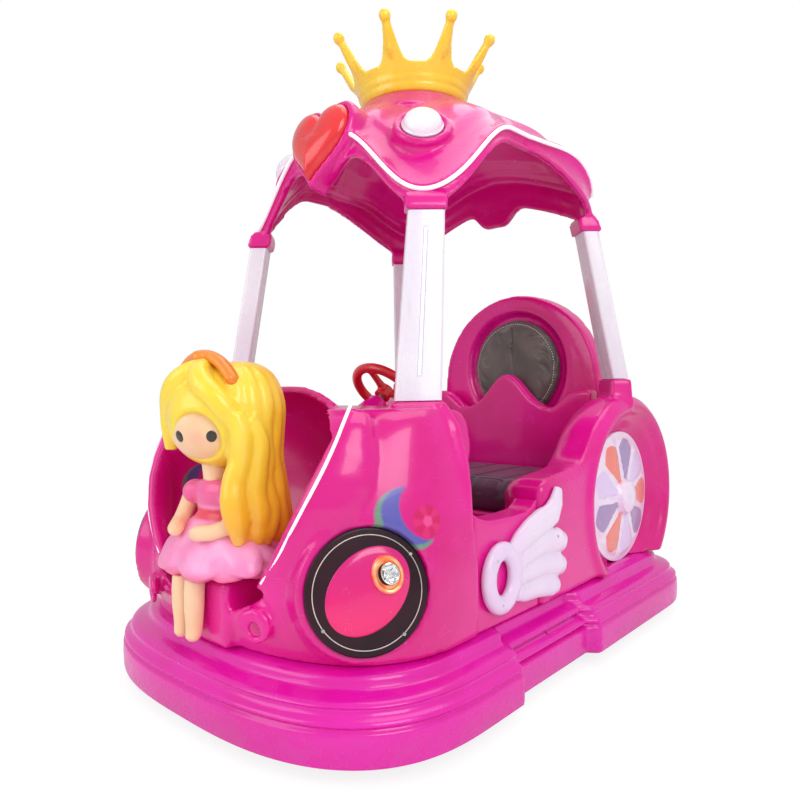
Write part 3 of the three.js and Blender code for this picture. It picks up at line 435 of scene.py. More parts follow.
tyre_rubber = rubber("tyre_rubber")
tread = [(WHEEL_R - 0.007, -TYRE_HALF), (WHEEL_R - 0.002, 0.003 - TYRE_HALF), (WHEEL_R, 0.007 - TYRE_HALF)]
for groove_y in (-0.0105, -0.0035, 0.0035, 0.0105):
    tread += [(WHEEL_R, groove_y - 0.0012), (WHEEL_R - 0.003, groove_y - 0.0008),
              (WHEEL_R - 0.003, groove_y + 0.0008),
              (WHEEL_R, groove_y + 0.0012)]
tread += [(WHEEL_R, TYRE_HALF - 0.007), (WHEEL_R - 0.002, TYRE_HALF - 0.003), (WHEEL_R - 0.007, TYRE_HALF)]
bead = [(RIM_R + 0.004, TYRE_HALF), (RIM_R + 0.0006, TYRE_HALF - 0.003), (RIM_R + 0.0006, 0.003 - TYRE_HALF),
        (RIM_R + 0.004, -TYRE_HALF)]
half_rim = [(STUB_R, -0.0215), (0.021, -0.0215), (0.0225, -0.020), (0.026, -0.009), (0.030, -0.0075),
            (RIM_R - 0.009, -0.0075), (RIM_R - 0.006, -0.010), (RIM_R - 0.0045, -0.0195), (RIM_R, -0.0195)]
rim_profile = half_rim + [(radius, -y) for radius, y in half_rim[::-1]]
for end, axle_x in [("front", 0.380), ("rear", -0.480)]:
    for side, sign in SIDES:
        wheel_body = f"{end}_wheel_{side}"
        place = Matrix.Translation((axle_x, sign * WHEEL_Y, WHEEL_R))
        tyre = turn_on(tread + bead, 96)
        bmesh.ops.recalc_face_normals(tyre, faces=tyre.faces)
        blocks = []
        for face in tyre.faces:
            middle = face.calc_center_median()
            turn = math.atan2(middle.z, middle.x)
            number = int((turn + math.pi) / (2 * math.pi) * 96)
            if math.hypot(middle.x, middle.z) > WHEEL_R - 0.0008 and number % 4 == 0:
                blocks.append((turn, face))
        cuts = [face for turn, face in sorted(blocks, key=lambda block: block[0])]
        bmesh.ops.inset_individual(tyre, faces=cuts, thickness=0.0006, depth=-0.0016)
        settle(f"{end}_tyre_{side}_tread", moved(tyre, place), tyre_rubber,
               [f"{end}_tyre_{side}"], 30, body=wheel_body)
        rim = turn_on(rim_profile, 48)
        for angle in circle(5):
            for face_y in (-0.0125, 0.0125):
                bolt_at = (0.034 * math.cos(angle), face_y, 0.034 * math.sin(angle))
                bmesh.ops.create_cone(rim, segments=6, radius1=0.0045, radius2=0.004, depth=0.010, cap_ends=True,
                                      matrix=Matrix.Translation(bolt_at) @ Matrix.Rotation(math.pi / 2, 4, "X"))
        settle(f"{end}_rim_{side}_dish", moved(rim, place), zinc, [f"{end}_rim_{side}"], 30,
               body=wheel_body)

# ------------------------------------------------------------------ nose moulding
# One big glass-fibre shell makes the bonnet, the cowl, the two lamp pods and the leaned-back alcove for the doll. Its
# corners are the soft fillets of the mould.
NOSE_REAR, DECK_Z = 0.400, 0.2153
nose_levels = [(DECK_Z, 0.815, 0.522), (0.300, 0.837, 0.528), (0.380, 0.839, 0.528), (0.460, 0.825, 0.520),
               (0.580, 0.783, 0.504), (0.690, 0.725, 0.478), (0.750, 0.670, 0.458), (0.774, 0.620, 0.440)]


def between(levels, z):
    """Reads a smooth curve through a table of heights and values."""
    for i in range(len(levels) - 1):
        if z <= levels[i + 1][0] or i == len(levels) - 2:
            a, b = levels[i], levels[i + 1]
            before, after = levels[max(0, i - 1)], levels[min(len(levels) - 1, i + 2)]
            t = (z - a[0]) / (b[0] - a[0])
            values = []
            for k in range(1, len(a)):
                slope_a = (b[k] - before[k]) / (b[0] - before[0]) * (b[0] - a[0])
                slope_b = (after[k] - a[k]) / (after[0] - a[0]) * (b[0] - a[0])
                values.append((2 * t ** 3 - 3 * t * t + 1) * a[k] + (t ** 3 - 2 * t * t + t) * slope_a
                              + (3 * t * t - 2 * t ** 3) * b[k] + (t ** 3 - t * t) * slope_b)
            return values


def slab(x0, x1, y0, y1, z0, z1):
    form = bmesh.new()
    size = Vector((x1 - x0, y1 - y0, z1 - z0))
    bmesh.ops.create_cube(form, size=1, matrix=Matrix.Translation(((x0 + x1) / 2, (y0 + y1) / 2, (z0 + z1) / 2))
                          @ Matrix.Diagonal((*size, 1)))
    return form


def egg(centre, radii, lean=0.0, rings=40):
    form = bmesh.new()
    bmesh.ops.create_uvsphere(form, u_segments=rings * 2, v_segments=rings, radius=1,
                              matrix=Matrix.Translation(centre) @ Matrix.Rotation(-lean, 4, "Y")
                              @ Matrix.Diagonal((*radii, 1)))
    return form


def along(direction):
    return Vector(direction).normalized().to_track_quat("Z", "Y").to_matrix().to_4x4()


def peg(start, end, r0, r1=None, sides=48):
    """A closed cone or cylinder between two points."""
    start, end = Vector(start), Vector(end)
    form = bmesh.new()
    bmesh.ops.create_cone(form, segments=sides, radius1=r0, radius2=r0 if r1 is None else r1,
                          depth=(end - start).length, cap_ends=True,
                          matrix=Matrix.Translation((start + end) / 2) @ along(end - start))
    return form


def tube(points, radii, sides=16, flat=1.0):
    """A closed round bar along a line of points, with its own radius at each."""
    points = [Vector(p) for p in points]
    rings, normal = [], None
    for i, point in enumerate(points):
        way = (points[min(i + 1, len(points) - 1)] - points[max(i - 1, 0)]).normalized()
        seed = normal if normal is not None else (Vector((0, 0, 1)) if abs(way.z) < 0.9 else Vector((1, 0, 0)))
        normal = (seed - way * seed.dot(way)).normalized()
        over = way.cross(normal)
        radius = radii[i] if isinstance(radii, (list, tuple)) else radii
        rings.append([point + normal * math.cos(t) * radius + over * math.sin(t) * radius * flat
                      for t in circle(sides)])
    return loft(rings, cap=True)


def mirror_form(form):
    """The same form on the car's other side."""
    twin = form.copy()
    bmesh.ops.scale(twin, vec=(1, -1, 1), verts=twin.verts)
    bmesh.ops.reverse_faces(twin, faces=twin.faces)
    return twin


def twins(*forms):
    """Each form with its copy on the right."""
    return [one for form in forms for one in (mirror_form(form), form)]


def join(*forms):
    return [("UNION", form) for form in forms]


def cut(*forms):
    return [("DIFFERENCE", form) for form in forms]


def cast(first, steps=(), grain=None, rounds=0):
    """Joins and cuts closed forms in turn. With a grain, the skin is remade at that size and smoothed so many rounds,
    which leaves the fillets that a mould has."""
    made = []

    def hold(form):
        bmesh.ops.recalc_face_normals(form, faces=form.faces)
        mesh = bpy.data.meshes.new("pattern")
        form.to_mesh(mesh)
        form.free()
        held = bpy.data.objects.new("pattern", mesh)
        scene.collection.objects.link(held)
        made.append(held)
        return held

    work = hold(first)
    for operation, form in steps:
        step = work.modifiers.new("step", "BOOLEAN")
        step.operation, step.object, step.solver = operation, hold(form), "EXACT"
    if grain:
        remade = work.modifiers.new("skin", "REMESH")
        remade.mode, remade.voxel_size = "VOXEL", grain
    if rounds:
        eased = work.modifiers.new("eased", "SMOOTH")
        eased.factor, eased.iterations = 0.5, rounds
    result = bpy.data.meshes.new_from_object(work.evaluated_get(bpy.context.evaluated_depsgraph_get()))
    form = bmesh.new()
    form.from_mesh(result)
    for held in made:
        mesh = held.data
        bpy.data.objects.remove(held)
        bpy.data.meshes.remove(mesh)
    bpy.data.meshes.remove(result)
    return form


def polar(radius, angle, z):
    return Vector((radius * math.cos(angle), radius * math.sin(angle), z))


def post_ring(at, width, thick, facing):
    """Four corners of a post's section, its wide faces looking out at this heading."""
    out = polar(1, facing, 0)
    across = Vector((-out.y, out.x, 0))
    return [Vector(at) + across * a * width / 2 + out * b * thick / 2 for a,
            b in [(1, 1), (-1, 1), (-1, -1), (1, -1)]]


def collar(at, down, width, facing):
    low = Vector(at) - Vector((0, 0, down))
    return loft([post_ring(low, width + 0.030, 0.080, facing), post_ring(at, width + 0.014, 0.068, facing)],
                cap=True)


FRONT_FACING, REAR_FACING = math.pi / 4, 3 * math.pi / 4
POST_FOOT_W, POST_HEAD_W, POST_T = 0.117, 0.096, 0.054
front_foot, front_head = Vector((0.450, 0.382, 0.790)), Vector((0.370, 0.352, 1.275))
rear_foot, rear_head = Vector((-0.489, 0.469, 0.837)), Vector((-0.410, 0.410, 1.326))

bowl_at, bowl_lean, bowl_radii = Vector((0.700, 0, 0.555)), math.pi / 6, Vector((0.260, 0.360, 0.295))
lamp_at = Vector((0.672, 0.402, 0.375))
lamp_out = Vector((math.cos(math.pi / 3), math.sin(math.pi / 3), 0.12)).normalized()
LAMP_R, POD_REACH = 0.140, 0.036

nose_rings = []
COWL_Z, NOSE_STEPS = 0.774, 24
for i in range(NOSE_STEPS + 1):
    z = DECK_Z + (COWL_Z - DECK_Z) * i / NOSE_STEPS
    tip, half = between(nose_levels, z)
    outline = rounded_end(NOSE_REAR + 0.06, tip, half, 2.5, 36)[::-1]
    outline += [(NOSE_REAR - 0.05, half), (NOSE_REAR - 0.05, 0)]
    nose_rings.append([Vector((x, y, z)) for x, y in both_sides(outline)])
nose = loft(nose_rings, cap=True)
hood = egg(bowl_at, bowl_radii + Vector((0.022,) * 3), bowl_lean)
rim_plane_out = Matrix.Rotation(-bowl_lean, 3, "Y") @ Vector((1, 0, 0))
for plane_at, plane_out in [(bowl_at + rim_plane_out * 0.012, rim_plane_out),
                            (Vector((0, 0, 0.43)), Vector((0, 0, -1)))]:
    slice_off(hood, plane_at, plane_out)
pod = peg(lamp_at - lamp_out * 0.13, lamp_at + lamp_out * POD_REACH, LAMP_R + 0.044, LAMP_R + 0.016)
pod_room = peg(lamp_at + lamp_out * (POD_REACH - 0.004), lamp_at + lamp_out * 0.16, LAMP_R + 0.003)
foot_collar = collar(front_foot, 0.06, POST_FOOT_W, FRONT_FACING)
door_roll = tube([(0.405, 0.500, 0.36), (0.408, 0.500, 0.50), (0.410, 0.488, 0.62), (0.414, 0.462, 0.72),
                  (0.424, 0.425, 0.775)],
                 [0.012, 0.018, 0.022, 0.024, 0.024])


def coil(centre, outward, size, turns):
    """A raised scroll: a bar that winds in to a knob on a surface facing outward."""
    outward = Vector(outward).normalized()
    side = outward.cross(Vector((0, 0, 1))).normalized()
    top = side.cross(outward).normalized()
    points, radii = [], []
    for i in range(int(turns * 20) + 1):
        angle = i / 20 * 2 * math.pi
        reach = size * (1 - 0.72 * i / (turns * 20))
        points.append(Vector(centre) + side * math.cos(angle) * reach + top * math.sin(angle) * reach + outward
                      * 0.004)
        radii.append(0.0125 * (1 - 0.45 * i / (turns * 20)))
    return tube(points, radii, 12)


scroll = coil((0.835, 0.225, 0.292), (0.92, 0.38, 0.0), 0.040, 1.6)
# the bowl's near edge swells into a broad round band that slopes back to the lamps
brow = [(0.640, 0.348, 0.776), (0.674, 0.360, 0.740), (0.705, 0.362, 0.690), (0.735, 0.356, 0.636),
        (0.764, 0.338, 0.574), (0.788, 0.305, 0.500),
        (0.800, 0.265, 0.430), (0.806, 0.215, 0.370)]
band_rings = []
for i, (point, radius, spread) in enumerate(zip(brow, [0.010, 0.018, 0.024, 0.027, 0.028, 0.027, 0.025, 0.020],
                                                [0.3, 0.45, 0.65, 0.85, 1.0, 1.0, 0.9, 0.7])):
    run = (Vector(brow[min(i + 1, len(brow) - 1)]) - Vector(brow[max(i - 1, 0)])).normalized()
    slope_back = Vector((-0.078, 0.062, -0.026)) * spread
    normal = run.cross(slope_back).normalized()
    reach = 0.5 + radius / slope_back.length
    band_rings.append([Vector(point) + slope_back * (0.5 + reach * math.cos(t)) + normal * radius * math.sin(t)
                       for t in circle(24)])
band = loft(band_rings, cap=True)
steps = join(hood, *twins(pod, foot_collar)) + cut(egg(bowl_at, bowl_radii, bowl_lean)) + join(*twins(band))
steps += cut(*twins(pod_room)) + join(*twins(door_roll), slab(0.700, 0.842, -0.115, 0.115, DECK_Z, 0.372),
                                      *twins(scroll))
steps += cut(slab(0.2, NOSE_REAR, -0.8, 0.8, 0, 1.2), slab(-1, 2, -1, 1, 0, DECK_Z))
nose = cast(nose, steps, grain=0.0072, rounds=9)
nose_pink = shell_pink.copy()
nose_pink.name = "nose_pink"
nose_shader = nose_pink.node_tree.nodes["Principled BSDF"]
print_at = Wire(nose_pink.node_tree).node("ShaderNodeTexCoord", output=3)
print_x, print_y, print_z = print_at.axes()
on_side = print_y.math("ABSOLUTE", print_y).above(0.30, 0.32)


def round_print(x, z, radius, soft=0.004):
    """1 inside a circle on the side of the nose, 0 outside."""
    away = ((print_x - x) ** 2.0 + (print_z - z) ** 2.0) ** 0.5
    return (1 - away.above(radius - soft, radius + soft)) * on_side


crescent = round_print(0.600, 0.532, 0.071) * (1 - round_print(0.553, 0.550, 0.070))
green_edge = crescent * (1 - round_print(0.592, 0.540, 0.067))
disc = round_print(0.562, 0.522, 0.036)
disc_petals = disc * print_at.math("SINE", print_x.math("ARCTAN2", print_x - 0.562, print_z - 0.522)
                                   * 5.0).above(-0.4, 0.5)
disc_heart = round_print(0.562, 0.522, 0.012)
printed = Wire(nose_pink.node_tree, nose_shader.inputs["Base Color"].links[0].from_socket)
for mask, ink in [(crescent * 0.92, rgb(0.06, 0.11, 0.46)), (green_edge * 0.9, rgb(0.16, 0.34, 0.16)),
                  (disc * 0.85, rgb(0.62, 0.004, 0.10)),
                  (disc_petals * 0.6, rgb(0.80, 0.02, 0.22)), (disc_heart * 0.8, rgb(0.88, 0.08, 0.34))]:
    printed = mask.blend(printed, ink)
nose_pink.node_tree.links.new(printed.socket, nose_shader.inputs["Base Color"])
settle("nose_moulding", nose, nose_pink, ["front_body"], crease=80)

# ------------------------------------------------------------------ sills, rear quarters and tail
# Low hollow sills close the sides at the doorways. Behind them each quarter sweeps up from an armrest into a fat-lipped
# wheel arch, and a rounded tail panel closes the back between the quarters.
SILL_REAR, SILL_OUT, QUARTER_OUT, QUARTER_IN = 0.100, 0.512, 0.530, 0.362
arch_at, ARCH_R, MOUTH_R, ROSETTE_R, MOUTH_DEPTH = (-0.490, 0.435), 0.345, 0.285, 0.220, 0.060


def hoop(place, wide, tall, thick, deep, steps, sides=16):
    """A closed ring with an oval section; place() puts its across, up and out in the car."""
    return loft([[place((wide + thick * math.cos(t)) * math.cos(a), (tall + thick * math.cos(t)) * math.sin(a),
                        deep * math.sin(t)) for t in circle(sides)] for a in circle(steps)], close=True)


def side_slab(outline, y0, y1):
    """A closed slab with an outline drawn in side view as (x, z)."""
    return loft([[Vector((x, y, z)) for x, z in outline] for y in (y0, y1)], cap=True)


def arc(centre, radius, start, end, steps):
    return [(centre[0] + radius * math.cos(start + (end - start) * i / steps),
             centre[1] + radius * math.sin(start + (end - start) * i / steps)) for i in range(steps + 1)]


sill_top = [(NOSE_REAR, 0.515), (0.375, 0.500), (0.330, 0.486), (0.270, 0.482), (0.200, 0.480), (0.150, 0.482),
            (0.125, 0.490),
            (0.110, 0.500), (SILL_REAR, 0.512)]
for side, sign in SIDES:
    sill = side_slab([(SILL_REAR, DECK_Z), (NOSE_REAR - 0.0005, DECK_Z)] + sill_top, SILL_OUT - 0.075, SILL_OUT)
    sill = mirror_form(sill) if sign < 0 else sill
    sill = cast(sill, grain=0.006, rounds=6)
    settle(f"side_sill_{side}_moulding", sill, shell_pink, [f"side_sill_{side}"], 80)

foot_turn = math.asin((DECK_Z - arch_at[1]) / ARCH_R)
quarter_line = [(SILL_REAR - 0.0005, DECK_Z), (SILL_REAR - 0.0005, 0.500), (0.092, 0.538), (0.065, 0.558),
                (0.005, 0.5665), (-0.040, 0.569),
                (-0.080, 0.573), (-0.110, 0.577), (-0.135, 0.582), (-0.156, 0.590), (-0.175, 0.603),
                (-0.200, 0.627)]
quarter_line += arc(arch_at, ARCH_R, math.pi * 0.22, math.pi - foot_turn, 56)
QUARTER_ROUND, OUTER_ROUND = 0.090, 0.020


def shrunk(outline, inset):
    """A (x, z) outline drawn in by an inset, standing on the deck."""
    line = []
    for i, here in enumerate(outline):
        ahead, behind = outline[min(i + 1, len(outline) - 1)], outline[max(i - 1, 0)]
        along_line = Vector((ahead[0] - behind[0], ahead[1] - behind[1])).normalized()
        line.append((here[0] - along_line.y * inset, max(DECK_Z, here[1] + along_line.x * inset)))
    return line


def quarter_round(y):
    """How far the outline is drawn in at each distance from the middle: round inside and at the outer face."""
    inner = max(0.0, 1 - (y - QUARTER_IN) / QUARTER_ROUND)
    outer = max(0.0, 1 - (QUARTER_OUT - 0.006 - y) / OUTER_ROUND)
    return QUARTER_ROUND * (1 - math.sqrt(1 - inner * inner)) + OUTER_ROUND * (1 - math.sqrt(1 - outer * outer))


for side, sign in SIDES:
    stations = [QUARTER_IN + (QUARTER_OUT - 0.006 - QUARTER_IN) * i / 28 for i in range(29)]
    quarter = loft([[Vector((x, y, z)) for x, z in shrunk(quarter_line, quarter_round(y))] for y in stations],
                   cap=True)
    lip = hoop(lambda across, up, out: Vector((arch_at[0] + across, 0.508 + out, arch_at[1] + up)),
               0.307, 0.307, 0.026, 0.030, 72)
    mouth = peg((arch_at[0], QUARTER_OUT - MOUTH_DEPTH, arch_at[1]), (arch_at[0], QUARTER_OUT + 0.002, arch_at[1]),
                ROSETTE_R + 0.006, MOUTH_R, 72)
    beyond_lip = peg((arch_at[0], QUARTER_OUT - 0.02, arch_at[1]), (arch_at[0], QUARTER_OUT + 0.08, arch_at[1]),
                     MOUTH_R - 0.004, MOUTH_R + 0.012, 72)
    head_collar = collar(rear_foot, 0.10, POST_FOOT_W, REAR_FACING)
    parts = join(lip, head_collar) + cut(mouth, beyond_lip, slab(-1, 1, -1, 1, 0, DECK_Z),
                                         slab(SILL_REAR - 0.0005, 1, -1, 1, 0, 1))
    if sign < 0:
        quarter, parts = mirror_form(quarter), [(how, mirror_form(form)) for how, form in parts]
    quarter = cast(quarter, parts, grain=0.008, rounds=7)
    settle(f"rear_quarter_{side}_moulding", quarter, shell_pink, [f"rear_quarter_{side}"], 80)

tail_line = [(-0.6805, DECK_Z), (-0.6805, 0.735), (-0.715, 0.722), (-0.750, 0.692), (-0.785, 0.640),
             (-0.805, 0.590),
             (-0.820, 0.540), (-0.832, 0.470), (-0.835, 0.400), (-0.832, 0.330), (-0.823, 0.270), (-0.812, DECK_Z)]
tail = cast(side_slab(tail_line, 0.0006 - QUARTER_IN, QUARTER_IN - 0.0006),
            cut(slab(-0.90, -0.808, -0.22, 0.22, 0.33, 0.56)), grain=0.010, rounds=5)
settle("tail_panel_moulding", tail, shell_pink, ["tail_panel"], 80)

# ------------------------------------------------------------------ wheel rosettes
# A moulded white disc is pressed into the mouth of each arch. Raised petals, sprayed in three colours, stand round
# its domed hub.
PETALS, ROSETTE_Y = 9, QUARTER_OUT - MOUTH_DEPTH + 0.0003


def rosette_paint(name):
    material, at = new_finish(name, Coat_Weight=0.4, Coat_Roughness=0.1)
    x, y, z = at.axes()
    east, north = x - arch_at[0], z - arch_at[1]
    angle = north.math("ARCTAN2", north, east)
    radius = (east * east + north * north) ** 0.5
    turn = angle * (PETALS / (2 * math.pi)) + PETALS
    share = turn.math("FRACT", turn)
    index = turn.math("FLOOR", turn)
    kind = index.math("MODULO", index, 3.0)
    warm, dusk = kind.math("COMPARE", kind, 1.0, 0.3), kind.math("COMPARE", kind, 2.0, 0.3)
    # a petal narrows towards the hub and has a rounded outer end
    off = share.math("ABSOLUTE", share - 0.5)
    reach = radius.above(0.060, 0.150) * 0.16 + 0.26
    past_end = (radius + off * off * 0.16).above(0.196, 0.200)
    inside = (reach - off).above(0.0, 0.03) * (1 - past_end) * radius.above(0.055, 0.065)
    petal = dusk.blend(warm.blend(rgb(0.78, 0.62, 0.92), rgb(0.90, 0.20, 0.13)), rgb(0.36, 0.24, 0.50))
    mist = at.speckle(24.0, 4.0)
    ground = mist.above(0.4, 0.7).blend(rgb(0.90, 0.78, 0.93), rgb(0.86, 0.68, 0.90))
    paint = (inside * (0.82 + mist * 0.18)).blend(ground, petal)
    return feed(material, Base_Color=paint, Roughness=mist * 0.15 + 0.22, relief=(at.speckle(140.0, 2.0), 0.0004))


rosette_white = rosette_paint("rosette_white")
for side, sign in SIDES:
    rings = []
    for i in range(34):
        radius = ROSETTE_R * (1 - i / 34) + 0.0001
        ring = []
        for k, angle in enumerate(circle(PETALS * 16)):
            share = (k / 16) % 1
            hub = 0.016 * smooth(0.062 - radius, 0, 0.008) + 0.014 * math.sqrt(max(0, 1 - (radius / 0.056) ** 2))
            dome = 0.010 + 0.017 * (1 - (radius / ROSETTE_R) ** 2)
            width = 0.26 + 0.16 * smooth(radius, 0.06, 0.15)
            petal = smooth(width - abs(share - 0.5), -0.01, 0.05)
            petal *= smooth(radius, 0.058, 0.070) * smooth(0.202 - radius, 0, 0.008)
            ring.append(Vector((arch_at[0] + radius * math.cos(angle),
                                sign * (ROSETTE_Y + dome + hub + 0.0045 * petal),
                                arch_at[1] + radius * math.sin(angle))))
        rings.append(ring)
    back = [Vector((p.x, sign * ROSETTE_Y, p.z)) for p in rings[0]]
    rosette = loft([back] + rings, cap=True)
    settle(f"rosette_{side}_petals", rosette, rosette_white, [f"rosette_{side}"], 40)

# ------------------------------------------------------------------ seat
# One moulding makes the bench and a lower back with a wave along its top. A round padded back sits behind the wave in
# its own arched shell, and a loose cushion lies on the bench.
SEAT_FRONT, SEAT_REAR, SEAT_TOP, CUSHION_TOP = -0.120, -0.585, 0.400, 0.512
SEAT_HALF = QUARTER_IN - 0.0006
BACK_X, BACK_T, BACK_R, BACK_Z, PAD_R, PAD_Z, PAD_RECESS = -0.600, 0.080, 0.350, 0.824, 0.210, 0.885, 0.030
wave = []
for i in range(81):
    y = SEAT_HALF - 2 * SEAT_HALF * i / 80
    s = abs(y / SEAT_HALF)
    wave.append((y, 0.728 + 0.133 * math.exp(-(s / 0.28) ** 2) + 0.070 * smooth(s, 0.55, 0.91)))
lower_back = loft([[Vector((x, y, z)) for y, z in [(-SEAT_HALF, 0.38), (SEAT_HALF, 0.38)] + wave]
                                for x in (SEAT_REAR, SEAT_REAR + 0.060)], cap=True)
wave_lip = tube([(SEAT_REAR + 0.036, y * 0.93, z - 0.020) for y, z in wave[::2]], 0.0225, 14)
tub_parts = join(lower_back, wave_lip)
for sign in (1, -1):
    # the back curls forward into a low side bolster
    tub_parts += join(tube([(SEAT_REAR + 0.03, sign * 0.335, 0.66), (-0.50, sign * 0.338, 0.60),
                            (-0.40, sign * 0.341, 0.545), (-0.28, sign * 0.343, 0.50), (-0.17, sign * 0.343, 0.455),
                            (-0.14, sign * 0.343, 0.40)], [0.018, 0.018, 0.017, 0.016, 0.015, 0.012]))
TUB_WALL = 0.014
tub_parts += cut(slab(SEAT_REAR + TUB_WALL, SEAT_FRONT - TUB_WALL, TUB_WALL - SEAT_HALF, SEAT_HALF - TUB_WALL, 0,
                      SEAT_TOP - TUB_WALL))
tub = cast(slab(SEAT_REAR, SEAT_FRONT, -SEAT_HALF, SEAT_HALF, DECK_Z, SEAT_TOP), tub_parts, grain=0.0085, rounds=4)
settle("seat_tub_moulding", tub, shell_pink, ["seat_tub"], 80)

back_line = [(-SEAT_HALF, DECK_Z), (SEAT_HALF, DECK_Z), (SEAT_HALF, BACK_Z - 0.06)]
back_line += arc((0, BACK_Z), BACK_R, 0, math.pi, 64) + [(-SEAT_HALF, BACK_Z - 0.06)]
back_plate = loft([[Vector((x, y, z)) for y, z in back_line] for x in (BACK_X - BACK_T, BACK_X)], cap=True)
pad_seat = peg((BACK_X - PAD_RECESS, 0, PAD_Z), (BACK_X + 0.04, 0, PAD_Z), PAD_R + 0.001, PAD_R + 0.040, 96)
back_ring = hoop(lambda across, up, out: Vector((BACK_X - 0.034 + out, across, BACK_Z + up)), 0.312, 0.312, 0.030,
                 0.036, 96)
back_shell = cast(back_plate, join(back_ring) + cut(pad_seat, slab(SEAT_REAR - 0.0006, 0, -1, 1, 0, 2)),
                  grain=0.0085, rounds=8)
settle("seat_back_shell_moulding", back_shell, shell_pink, ["seat_back_shell"], 80)


def vinyl(name, colour, deep, pale):
    """Soft vinyl cloth: pebbled grain, creases that fade to a paler tone, and a little shine where it is rubbed."""
    material, at = new_finish(name, Sheen_Weight=0.1, Coat_Weight=0.35, Coat_Roughness=0.16)
    pebble, crease, cloud = at.cells(420.0), at.speckle(30.0, 6.0, (1, 0.35, 1)), at.speckle(7.0, 3.0)
    paint = cloud.above(0.35, 0.7).blend(deep, colour)
    paint = (crease.above(0.58, 0.72) * 0.45).blend(paint, pale)
    return feed(material, Base_Color=paint, Roughness=cloud * 0.2 + pebble * 0.1 + 0.34,
                relief=(pebble * 0.5 + crease * 0.9, 0.0016))


def inflate(form, swell, cap_to, voxel=0.006, frames=20):
    """Blows a closed form up like a stuffed cover with a cloth simulation; no point moves further than cap_to."""
    bmesh.ops.recalc_face_normals(form, faces=form.faces)
    mesh = bpy.data.meshes.new("cover")
    form.to_mesh(mesh)
    form.free()
    cover = bpy.data.objects.new("cover", mesh)
    scene.collection.objects.link(cover)
    remade = cover.modifiers.new("skin", "REMESH")
    remade.mode, remade.voxel_size = "VOXEL", voxel
    bpy.context.view_layer.update()
    cover.data = bpy.data.meshes.new_from_object(cover.evaluated_get(bpy.context.evaluated_depsgraph_get()))
    cover.modifiers.clear()
    rest = [v.co.copy() for v in cover.data.vertices]
    cloth = cover.modifiers.new("cloth", "CLOTH")
    cloth.settings.use_pressure = True
    cloth.settings.uniform_pressure_force = swell
    cloth.settings.effector_weights.gravity = 0
    cloth.settings.tension_stiffness = cloth.settings.compression_stiffness = 12
    cloth.settings.bending_stiffness = 0.6
    scene.frame_start, scene.frame_end = 1, frames
    for number in range(1, frames + 1):
        scene.frame_set(number)
    blown = cover.evaluated_get(bpy.context.evaluated_depsgraph_get()).to_mesh()
    for vertex, was, now in zip(cover.data.vertices, rest, [v.co.copy() for v in blown.vertices]):
        move = now - was
        vertex.co = was + move * min(1.0, cap_to / max(move.length, 1e-9))
    cover.modifiers.clear()
    scene.frame_set(1)
    form = bmesh.new()
    form.from_mesh(cover.data)
    bmesh.ops.smooth_vert(form, verts=form.verts, factor=0.5, use_axis_x=True, use_axis_y=True, use_axis_z=True)
    mesh = cover.data
    bpy.data.objects.remove(cover)
    bpy.data.meshes.remove(mesh)
    return form


def press(form, depth_at):
    """Moves each point by what depth_at gives for it: sewn channels and seams pressed into a cover."""
    for vertex in form.verts:
        vertex.co += depth_at(vertex.co)
    return form


def stitches(line, outward, pitch=0.0075, length=0.0045, thick=0.0007):
    """A row of thread stitches along a line of points, each a small rounded bar lying on the cover."""
    form = bmesh.new()
    line = [Vector(p) for p in line]
    spans = [(a, b, (b - a).length) for a, b in zip(line, line[1:])]
    total, at = sum(s[2] for s in spans), 0.0
    while at < total:
        left = at
        for a, b, span in spans:
            if left <= span:
                break
            left -= span
        way = (b - a).normalized()
        middle = a + way * left + Vector(outward) * thick * 0.4
        bmesh.ops.create_icosphere(form, subdivisions=1, radius=1, matrix=Matrix.Translation(middle) @ along(way)
                                   @ Matrix.Diagonal((thick, thick, length / 2, 1)))
        at += pitch
    return form


cushion_vinyl = vinyl("cushion_vinyl", rgb(0.115, 0.030, 0.085), rgb(0.055, 0.016, 0.048), rgb(0.24, 0.10, 0.19))
back_vinyl = vinyl("back_vinyl", rgb(0.145, 0.135, 0.118), rgb(0.075, 0.07, 0.062), rgb(0.33, 0.32, 0.29))
thread_white, thread_at = new_finish("thread_white", Roughness=0.8)
thread_fibre = thread_at.speckle(300.0).above(0.3, 0.7)
feed(thread_white, Base_Color=thread_fibre.blend(rgb(0.75, 0.74, 0.72), rgb(0.9, 0.9, 0.88)))

CUSHION_REAR, CUSHION_FRONT = SEAT_REAR + 0.0665, SEAT_FRONT + 0.004
CUSHION_SEAM_X = CUSHION_FRONT - 0.045
cushion_form = slab(CUSHION_REAR, CUSHION_FRONT, -0.346, 0.346, SEAT_TOP + 0.003, CUSHION_TOP - 0.018)
bmesh.ops.bevel(cushion_form, geom=cushion_form.edges[:], offset=0.030, offset_type="OFFSET", segments=4,
                profile=0.5,
                affect="EDGES", material=-1)
cushion_form = inflate(cushion_form, 3.0, 0.012)
channels = (-0.230, -0.115, 0.0, 0.115, 0.230)


def cushion_press(p):
    top = smooth(p.z, 0.46, 0.49)
    groove = sum(math.exp(-((p.y - y) / 0.006) ** 2) for y in channels)
    groove += math.exp(-((p.x - CUSHION_SEAM_X) / 0.006) ** 2)
    crown = 0.010 * (1 - (abs(p.y) / 0.36) ** 4) * top
    return Vector((0, 0, crown - 0.009 * top * min(1.0, groove) + max(0, SEAT_TOP + 0.0008 - p.z)))


cushion_form = press(cushion_form, cushion_press)
cushion = settle("seat_cushion_cover", cushion_form, cushion_vinyl, ["seat_cushion"], 80)

pad_x, SEAM_R = BACK_X - PAD_RECESS, 0.176
pad_form = peg((pad_x + 0.004, 0, PAD_Z), (pad_x + 0.030, 0, PAD_Z), PAD_R - 0.010, PAD_R - 0.014, 72)
pad_form = inflate(pad_form, 3.0, 0.010, 0.005)


